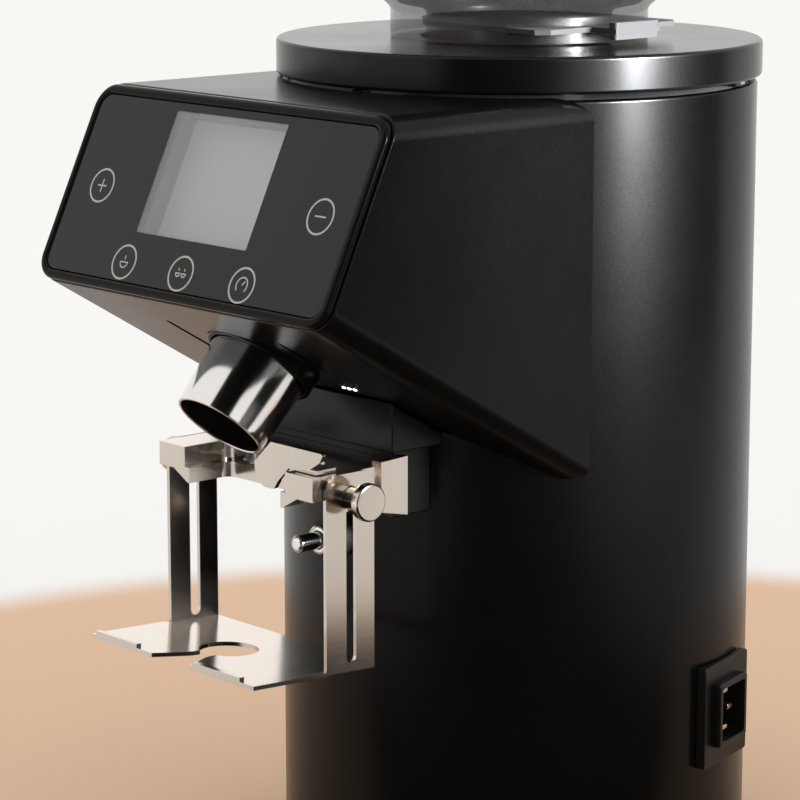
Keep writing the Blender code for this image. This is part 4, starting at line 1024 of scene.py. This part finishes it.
class GRINDER_OT_tray(bpy.types.Operator):
    """Fold the tray from one sheet, with its slotted plates, lips and finger notch"""

    bl_idname = "grinder.tray"
    bl_label = "Tray"

    TILT = math.radians(2.7)
    DECK_Z = 0.0998                                 # upper face, at the plates' front edge
    PLATE_Y = (-0.1315, -0.1098)
    LIPS = ((-0.0425, -0.0190), (0.0118, 0.0376))   # left and right ends

    def height(self, y):
        return self.DECK_Z + (self.PLATE_Y[0] - y) * math.tan(self.TILT)

    def execute(self, context):
        gauge = sizes().tray_gauge
        low, high = self.PLATE_Y
        outer, top, front = 0.0436, TRAY_HIGH.z, TRAY_LOW.y
        wing = TRAY_HIGH.x
        deck = [(high, self.height(high)), (high, self.height(high) - gauge),
                (front, self.height(front) - gauge), (front, self.height(front))]
        tray = flank(deck, -outer + 0.0002, outer - 0.0002)
        plate = [(low, self.height(low) - gauge, 0), (high, self.height(high) - gauge, 0),
                 (high, top, 0.0050), (low, top, 0.0050)]
        for side in (-1, 1):
            inner = outer - gauge
            fuse(tray, flank(plate, *sorted((side * inner, side * outer)), 0.0050, 12))
            flap = [(low - 0.001, self.height(low)), (low - 0.001, self.height(low) - gauge),
                    (front, self.height(front) - gauge), (front, self.height(front))]
            fuse(tray, flank(flap, *sorted((side * (outer - 0.001), side * wing))))
        edge, lip_depth, lip_rise = self.height(front), 0.0020, 0.0014
        for left, right in self.LIPS:
            fuse(tray, box((left, right), (front, front + lip_depth), (edge - 0.001, edge + lip_rise)))
        slot_y, half, slot_low, slot_high = CLAMP_YZ[0], 0.0022, 0.1008, 0.1632
        slot = oblong((slot_y - half, slot_y + half), (slot_low, slot_high))
        cut(tray, flank(slot, -0.06, 0.06, half * 0.99, 10))
        notch_r, notch_y = 0.0105, -0.1390
        notch = rod(notch_r, (0, notch_y, 0.09), (0, notch_y, 0.11), 96)
        mouth = [(-0.0042, -0.1300), (-0.0042, -0.1520, 0.010), (-0.0114, -0.1670), (0.0114, -0.1670),
                 (0.0042, -0.1520, 0.010), (0.0042, -0.1300)]
        cut(tray, fuse(notch, slab(mouth, 0.0905, 0.1095, 0.0, 8)))
        soften(tray, 0.0005, 4)
        settle(tray, "folded_tray", "tray_steel", "tray", ["tray_frame"], 40)
        return {"FINISHED"}


class GRINDER_OT_clamps(bpy.types.Operator):
    """Turn the two clamp screws"""

    bl_idname = "grinder.clamps"
    bl_label = "Clamp screws"

    def execute(self, context):
        inner, outer, shoulder = 0.0507, 0.0542, 0.0439
        tip = shoulder - 0.0070
        head_r, collar_r, shank_r = 0.0066, 0.0040, 0.0019
        for side, word in ((-1, "left"), (1, "right")):
            screw = turned([
                (0, outer), (head_r, outer, 0.0008), (head_r, inner, 0.0006), (collar_r, inner),
                (collar_r, shoulder), (shank_r, shoulder), (shank_r, tip), (0, tip),
            ], sizes().small_steps, 0.0003, 5)
            turn = Matrix.Rotation(side * math.radians(90), 4, "Y")
            moved(screw, Matrix.Translation((0, *CLAMP_YZ)) @ turn)
            settle(screw, "thumb_screw_" + word, "clamp_steel", "clamp_" + word,
                   ["clamp_screw_" + word], 40)
        return {"FINISHED"}


class GRINDER_OT_button(bpy.types.Operator):
    """Turn the start button, its chromed bush and its black boss"""

    bl_idname = "grinder.button"
    bl_label = "Start button"

    def execute(self, context):
        cap_r, dome_r, stem_r = 0.0031, 0.00305, 0.0014
        tip, under_cap, tail = 0.1084, 0.0985, 0.0830
        button = turned([
            (0, tip), (cap_r, tip, dome_r), (cap_r, under_cap), (stem_r, under_cap),
            (stem_r, tail), (0, tail),
        ], 48, 0.0001, 10)
        moved(button, front_frame(BUTTON_Z))
        settle(button, "bullet_button", "chrome", "button", ["start_button"], 50)
        bush_r, barrel_r, cap_bore, stem_bore = 0.0052, 0.0043, 0.0034, 0.0017
        face, shoulder, tail, ledge = 0.0982, 0.0955, 0.0825, 0.0945
        bush = turned([
            (cap_bore, face), (bush_r, face, 0.0016), (bush_r, shoulder), (barrel_r, shoulder),
            (barrel_r, tail), (stem_bore, tail), (stem_bore, ledge), (cap_bore, ledge),
        ], 48, 0.0002, 6)
        moved(bush, front_frame(BUTTON_Z))
        settle(bush, "domed_bush", "chrome", "housing", ["button_bush"], 50)
        boss_r, bore, face, tail = 0.0074, 0.0046, 0.0952, 0.0800
        outline = [(bore, face), (boss_r, face, 0.0010), (boss_r, tail), (bore, tail)]
        boss = turned(outline, sizes().small_steps, 0.0002, 6)
        moved(boss, front_frame(BUTTON_Z))
        cut(boss, column_tool())
        settle(boss, "button_seat", "black_plastic", "housing", ["button_boss"], 40)
        return {"FINISHED"}


class GRINDER_OT_inlet(bpy.types.Operator):
    """Mould the power inlet with its bevelled flange and set in its three contacts"""

    bl_idname = "grinder.inlet"
    bl_label = "Power inlet"

    PINS = ((0.0, 0.0070), (0.0040, 0.0), (0.0, -0.0070))
    PIN_HALF_W, PIN_HALF_H = 0.0020, 0.0010

    def block(self, half_w, half_h, front, back):
        """A block with rounded upright corners, on the inlet's axis."""
        return facing(oblong((-half_w, half_w), (-half_h, half_h)), front, back, 0.0012, 5)

    def execute(self, context):
        here = inlet_frame()
        flange = self.block(0.0170, 0.0190, -0.0893, -0.0800)
        moved(flange, here)
        cut(flange, column_tool())
        soften(flange, 0.0007, 3)
        body = self.block(0.0110, 0.0120, -0.0925, -0.0630)
        soften(body, 0.0007, 3)
        moved(body, here)
        fuse(flange, body)
        cut(flange, moved(self.block(0.0090, 0.0100, -0.10, -0.0775), here))
        settle(flange, "moulded_inlet", "inlet_plastic", "housing", ["power_inlet"])
        half_w, half_h = self.PIN_HALF_W, self.PIN_HALF_H
        for index, (x, z) in enumerate(self.PINS):
            pin = box((x - half_w, x + half_w), (-0.0890, -0.0778), (z - half_h, z + half_h))
            soften(pin, 0.0005, 4)
            moved(pin, here)
            settle(pin, f"contact_{index + 1}", "contact_brass", "housing",
                   [f"inlet_pin_{index + 1}"])
        return {"FINISHED"}


class GRINDER_OT_collar(bpy.types.Operator):
    """Turn the painted grind collar"""

    bl_idname = "grinder.collar"
    bl_label = "Grind collar"

    def execute(self, context):
        outer, low, high = COLLAR_HIGH.x, 0.2930, COLLAR_HIGH.z
        inner, skirt = 0.0364, 0.0435
        collar = turned([
            (inner, high), (outer, high, 0.0014), (outer, low, 0.0014), (outer - 0.0032, low),
            (outer - 0.0032, high - 0.0030), (skirt, high - 0.0030), (skirt, COLLAR_LOW.z),
            (inner, COLLAR_LOW.z),
        ], sizes().round_steps, 0.0004, 6)
        settle(collar, "painted_collar", "collar_black_paint", "collar",
               ["adjustment_collar"], 50)
        return {"FINISHED"}


class GRINDER_OT_hopper(bpy.types.Operator):
    """Mould the bean hopper, its gate and its lid"""

    bl_idname = "grinder.hopper"
    bl_label = "Hopper"

    def execute(self, context):
        self.make_hopper()
        self.make_gate()
        self.make_lid()
        return {"FINISHED"}

    def back_arc(self, radius):
        """Half a circle round the left side, from the back to the front."""
        turns = [math.radians(90 + 180 * step / 32) for step in range(33)]
        return [(radius * math.cos(turn), radius * math.sin(turn)) for turn in turns]

    def make_hopper(self):
        outer, wall, top = HOPPER_HIGH.x, 0.0022, HOPPER_HIGH.z
        base_r, base_low, base_high, shoulder = 0.0470, 0.3064, 0.3170, 0.3480
        neck, throat = 0.0360, 0.0338
        hopper = turned([
            (outer - wall, top, 0.0006), (outer, top, 0.0006), (outer, shoulder, 0.012),
            (base_r, base_high, 0.003), (base_r, base_low), (neck, base_low),
            (neck, HOPPER_LOW.z), (throat, HOPPER_LOW.z),
            (throat, base_high - 0.0008, 0.003), (base_r - 0.003, base_high + wall - 0.0008, 0.003),
            (outer - wall, shoulder + 0.0012, 0.011),
        ], 160, 0.0004, 8)
        slot = 0.0355
        outline = [(0.070, -slot), (0.070, slot), *self.back_arc(slot)]
        cut(hopper, slab(outline, 0.3105, 0.3129))
        settle(hopper, "moulded_hopper", "smoked_plastic", "hopper_body", ["hopper"], 40)

    def make_gate(self):
        middle = 0.3117
        half_w, neck, tab = 0.0352, 0.0480, 0.0110
        outline = [(neck, 0.004 - half_w), (neck, -tab), (0.0600, -tab), (0.0600, tab), (neck, tab),
                   (neck, half_w - 0.004), (0.0440, half_w), *self.back_arc(half_w), (0.0440, -half_w)]
        gate = slab(outline, middle - 0.0009, middle + 0.0009)
        grip = slab(oblong((0.0560, 0.0600), (-tab, tab)), middle - 0.0030, middle + 0.0030, 0.0012, 5)
        fuse(gate, grip)
        soften(gate, 0.0003, 3)
        settle(gate, "sliding_gate", "black_plastic", "gate", ["hopper_gate"], 40)

    def make_lid(self):
        outer, deck, low, top = LID_HIGH.x, 0.4145, HOPPER_HIGH.z + GAP, LID_HIGH.z
        lip, knob = 0.0790, 0.0130
        lid = turned([
            (0, top - 0.0008), (knob - 0.0040, top - 0.0008), (knob - 0.0016, top, 0.0010),
            (knob, top - 0.0025, 0.0015), (knob - 0.0020, deck + 0.0010, 0.0015), (0.0300, deck, 0.01),
            (outer, deck - 0.0012, 0.0024), (outer, low), (lip, low), (lip, low - 0.0050),
            (lip - 0.0022, low - 0.0050), (lip - 0.0022, low + 0.0010),
            (0, low + 0.0010),
        ], 160, 0.0003, 6)
        settle(lid, "moulded_lid", "black_plastic", "lid", ["hopper_lid"], 40)


class GRINDER_OT_inner_works(bpy.types.Operator):
    """Give the motor, the grinding set and the electrics their finishes"""

    bl_idname = "grinder.inner_works"
    bl_label = "Inner works"

    FINISHES = {
        "plain_steel": ("base_plate", "base_screw_1", "base_screw_2", "base_screw_3",
                        "motor_stud_1", "motor_stud_2", "motor_stud_3", "shaft_nut", "wave_spring",
                        "bearing_lower", "bearing_upper", "drive_shaft"),
        "blackened_steel": ("flange_screw_1", "flange_screw_2", "flange_screw_3"),
        "hardened_steel": ("burr_lower", "burr_upper"),
        "machined_aluminium": ("grind_chamber", "burr_carrier_lower", "chute", "run_capacitor"),
        "machined_brass": ("burr_carrier_upper",),
        "cast_aluminium": ("motor_end_bell", "motor_top_bell"),
        "laminated_iron": ("stator_core", "rotor"),
        "copper_winding": ("winding_lower", "winding_upper"),
        "circuit_board": ("control_board", "power_board"),
        "black_plastic": ("start_switch", "cooling_fan"),
    }

    def execute(self, context):
        for finish, nodes in self.FINISHES.items():
            for node in nodes:
                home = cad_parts[node].data.materials
                home.clear()
                home.append(bpy.data.materials[finish])
        return {"FINISHED"}


class GRINDER_OT_stage(bpy.types.Operator):
    """Lay the floor, set up the lights and place the camera"""

    bl_idname = "grinder.stage"
    bl_label = "Stage"

    # Name, azimuth, distance, lowest and highest point, width, and the depth of a flat one.
    FLAGS = (
        ("flag_camera", 38.0, 1.05, (0.0, 1.9), 1.10),
        ("flag_right", 103.0, 0.95, (0.0, 0.42), 0.62),
        ("flag_flank", 137.0, 0.95, (0.03, 0.60), 0.62),
        ("flag_floor", 48.0, 0.50, (0.001, 0.001), 0.70, 0.80),
    )
    # The same, then watts, tint, tilt and spread.
    SOFTBOXES = (
        ("key", 98.0, 0.44, (0.265, 0.46), 0.11, 2.4, (0.95, 0.97, 1.0), 14.0, 38.0),
        ("back", -136.0, 1.7, (0.05, 0.75), 1.5, 0.9, (1.0, 0.99, 0.98), 0.0, 180.0),
        ("left", -50.0, 1.3, (-0.10, 0.20), 0.9, 0.5, (1.0, 0.95, 0.88), 0.0, 180.0),
    )
    CAMERA_AT = (0.8378, -0.8150, 0.4030)
    CAMERA_TURN = (78.73, 0.0, 47.92)
    CAMERA_LENS = 143.39

    def execute(self, context):
        make_floor("pale_floor", context.scene.grinder_colours.floor)
        bpy.ops.object.select_all(action="DESELECT")
        bpy.ops.mesh.primitive_circle_add(vertices=64, radius=9.0, fill_type="NGON")
        floor = bpy.context.object
        floor.name = "floor"
        floor.data.materials.append(bpy.data.materials["pale_floor"])
        self.make_sky(context.scene)
        for flag in self.FLAGS:
            self.make_flag(*flag)
        for softbox in self.SOFTBOXES:
            self.make_softbox(*softbox)
        self.make_camera(context.scene)
        return {"FINISHED"}

    def make_sky(self, scene):
        world = scene.world or bpy.data.worlds.new("studio")
        scene.world = world
        world.use_nodes = True
        background = world.node_tree.nodes["Background"]
        background.inputs["Color"].default_value = (1.0, 0.99, 0.975, 1.0)
        background.inputs["Strength"].default_value = 0.99
        scene.view_settings.view_transform = "Standard"

    def around(self, azimuth, distance, height):
        """A place at an azimuth from the front, turning towards the right flank."""
        turn = math.radians(azimuth)
        return Vector((distance * math.sin(turn), -distance * math.cos(turn), height))

    def make_flag(self, name, azimuth, distance, heights, width, depth=0.0):
        """A dark card that only reflections see. With a depth it lies flat."""
        recipe = Recipe(name + "_cloth", Base_Color=(0.004, 0.004, 0.004, 1.0), Roughness=1.0)
        recipe.set("Specular IOR Level", 0.0)
        low, high = heights
        bpy.ops.object.select_all(action="DESELECT")
        bpy.ops.mesh.primitive_plane_add(size=1.0)
        flag = bpy.context.object
        flag.name = name
        turn = Matrix.Rotation(math.radians(azimuth), 4, "Z")
        if not depth:
            turn = turn @ Matrix.Rotation(math.radians(90), 4, "X")
        stretch = Matrix.Diagonal((width, depth or high - low, 1.0, 1.0))
        middle = self.around(azimuth, distance, (low + high) / 2)
        flag.matrix_world = Matrix.Translation(middle) @ turn @ stretch
        flag.data.materials.append(recipe.material)
        flag.visible_camera = False
        flag.visible_shadow = False
        flag.visible_diffuse = False

    def make_softbox(self, name, azimuth, distance, heights, width, power, tint, tilt, spread):
        """A glowing card that only reflections see. It faces the column, tilted down."""
        low, high = heights
        bpy.ops.object.light_add(type="AREA", location=self.around(azimuth, distance, (low + high) / 2))
        lamp = bpy.context.object
        lamp.name = name
        lamp.data.shape = "RECTANGLE"
        lamp.data.size = width
        lamp.data.size_y = high - low
        lamp.data.spread = math.radians(spread)
        lamp.data.energy = power
        lamp.data.color = tint
        lamp.rotation_euler = (math.radians(90 - tilt), 0.0, math.radians(azimuth))
        lamp.visible_camera = False
        lamp.visible_diffuse = False

    def make_camera(self, scene):
        bpy.ops.object.camera_add(location=self.CAMERA_AT)
        camera = bpy.context.object
        camera.rotation_euler = [math.radians(angle) for angle in self.CAMERA_TURN]
        camera.data.sensor_width = 36.0
        camera.data.lens = self.CAMERA_LENS
        camera.data.clip_start = 0.05
        scene.camera = camera


class GRINDER_PT_sidebar(bpy.types.Panel):
    """The grinder's pieces, one button each"""

    bl_label = "Burr coffee grinder"
    bl_idname = "GRINDER_PT_sidebar"
    bl_space_type = "VIEW_3D"
    bl_region_type = "UI"
    bl_category = "Grinder"

    def draw(self, context):
        for settings in (context.scene.grinder_sizes, context.scene.grinder_colours):
            for name in settings.__annotations__:
                self.layout.prop(settings, name)
        for operator in OPERATORS:
            self.layout.operator(operator.bl_idname)


OPERATORS = (
    GRINDER_OT_finishes, GRINDER_OT_stage, GRINDER_OT_column, GRINDER_OT_base, GRINDER_OT_head,
    GRINDER_OT_panel, GRINDER_OT_outlet, GRINDER_OT_fork, GRINDER_OT_tray, GRINDER_OT_clamps,
    GRINDER_OT_button, GRINDER_OT_inlet, GRINDER_OT_collar, GRINDER_OT_hopper, GRINDER_OT_inner_works,
)
CLASSES = (GrinderSizes, GrinderColours, *OPERATORS, GRINDER_PT_sidebar)


def register():
    for each in CLASSES:
        bpy.utils.register_class(each)
    bpy.types.Scene.grinder_sizes = PointerProperty(type=GrinderSizes)
    bpy.types.Scene.grinder_colours = PointerProperty(type=GrinderColours)


def unregister():
    del bpy.types.Scene.grinder_colours
    del bpy.types.Scene.grinder_sizes
    for each in reversed(CLASSES):
        bpy.utils.unregister_class(each)


def main():
    register()
    for operator in OPERATORS:
        group, name = operator.bl_idname.split(".")
        getattr(getattr(bpy.ops, group), name)()


if __name__ == "__main__":
    main()
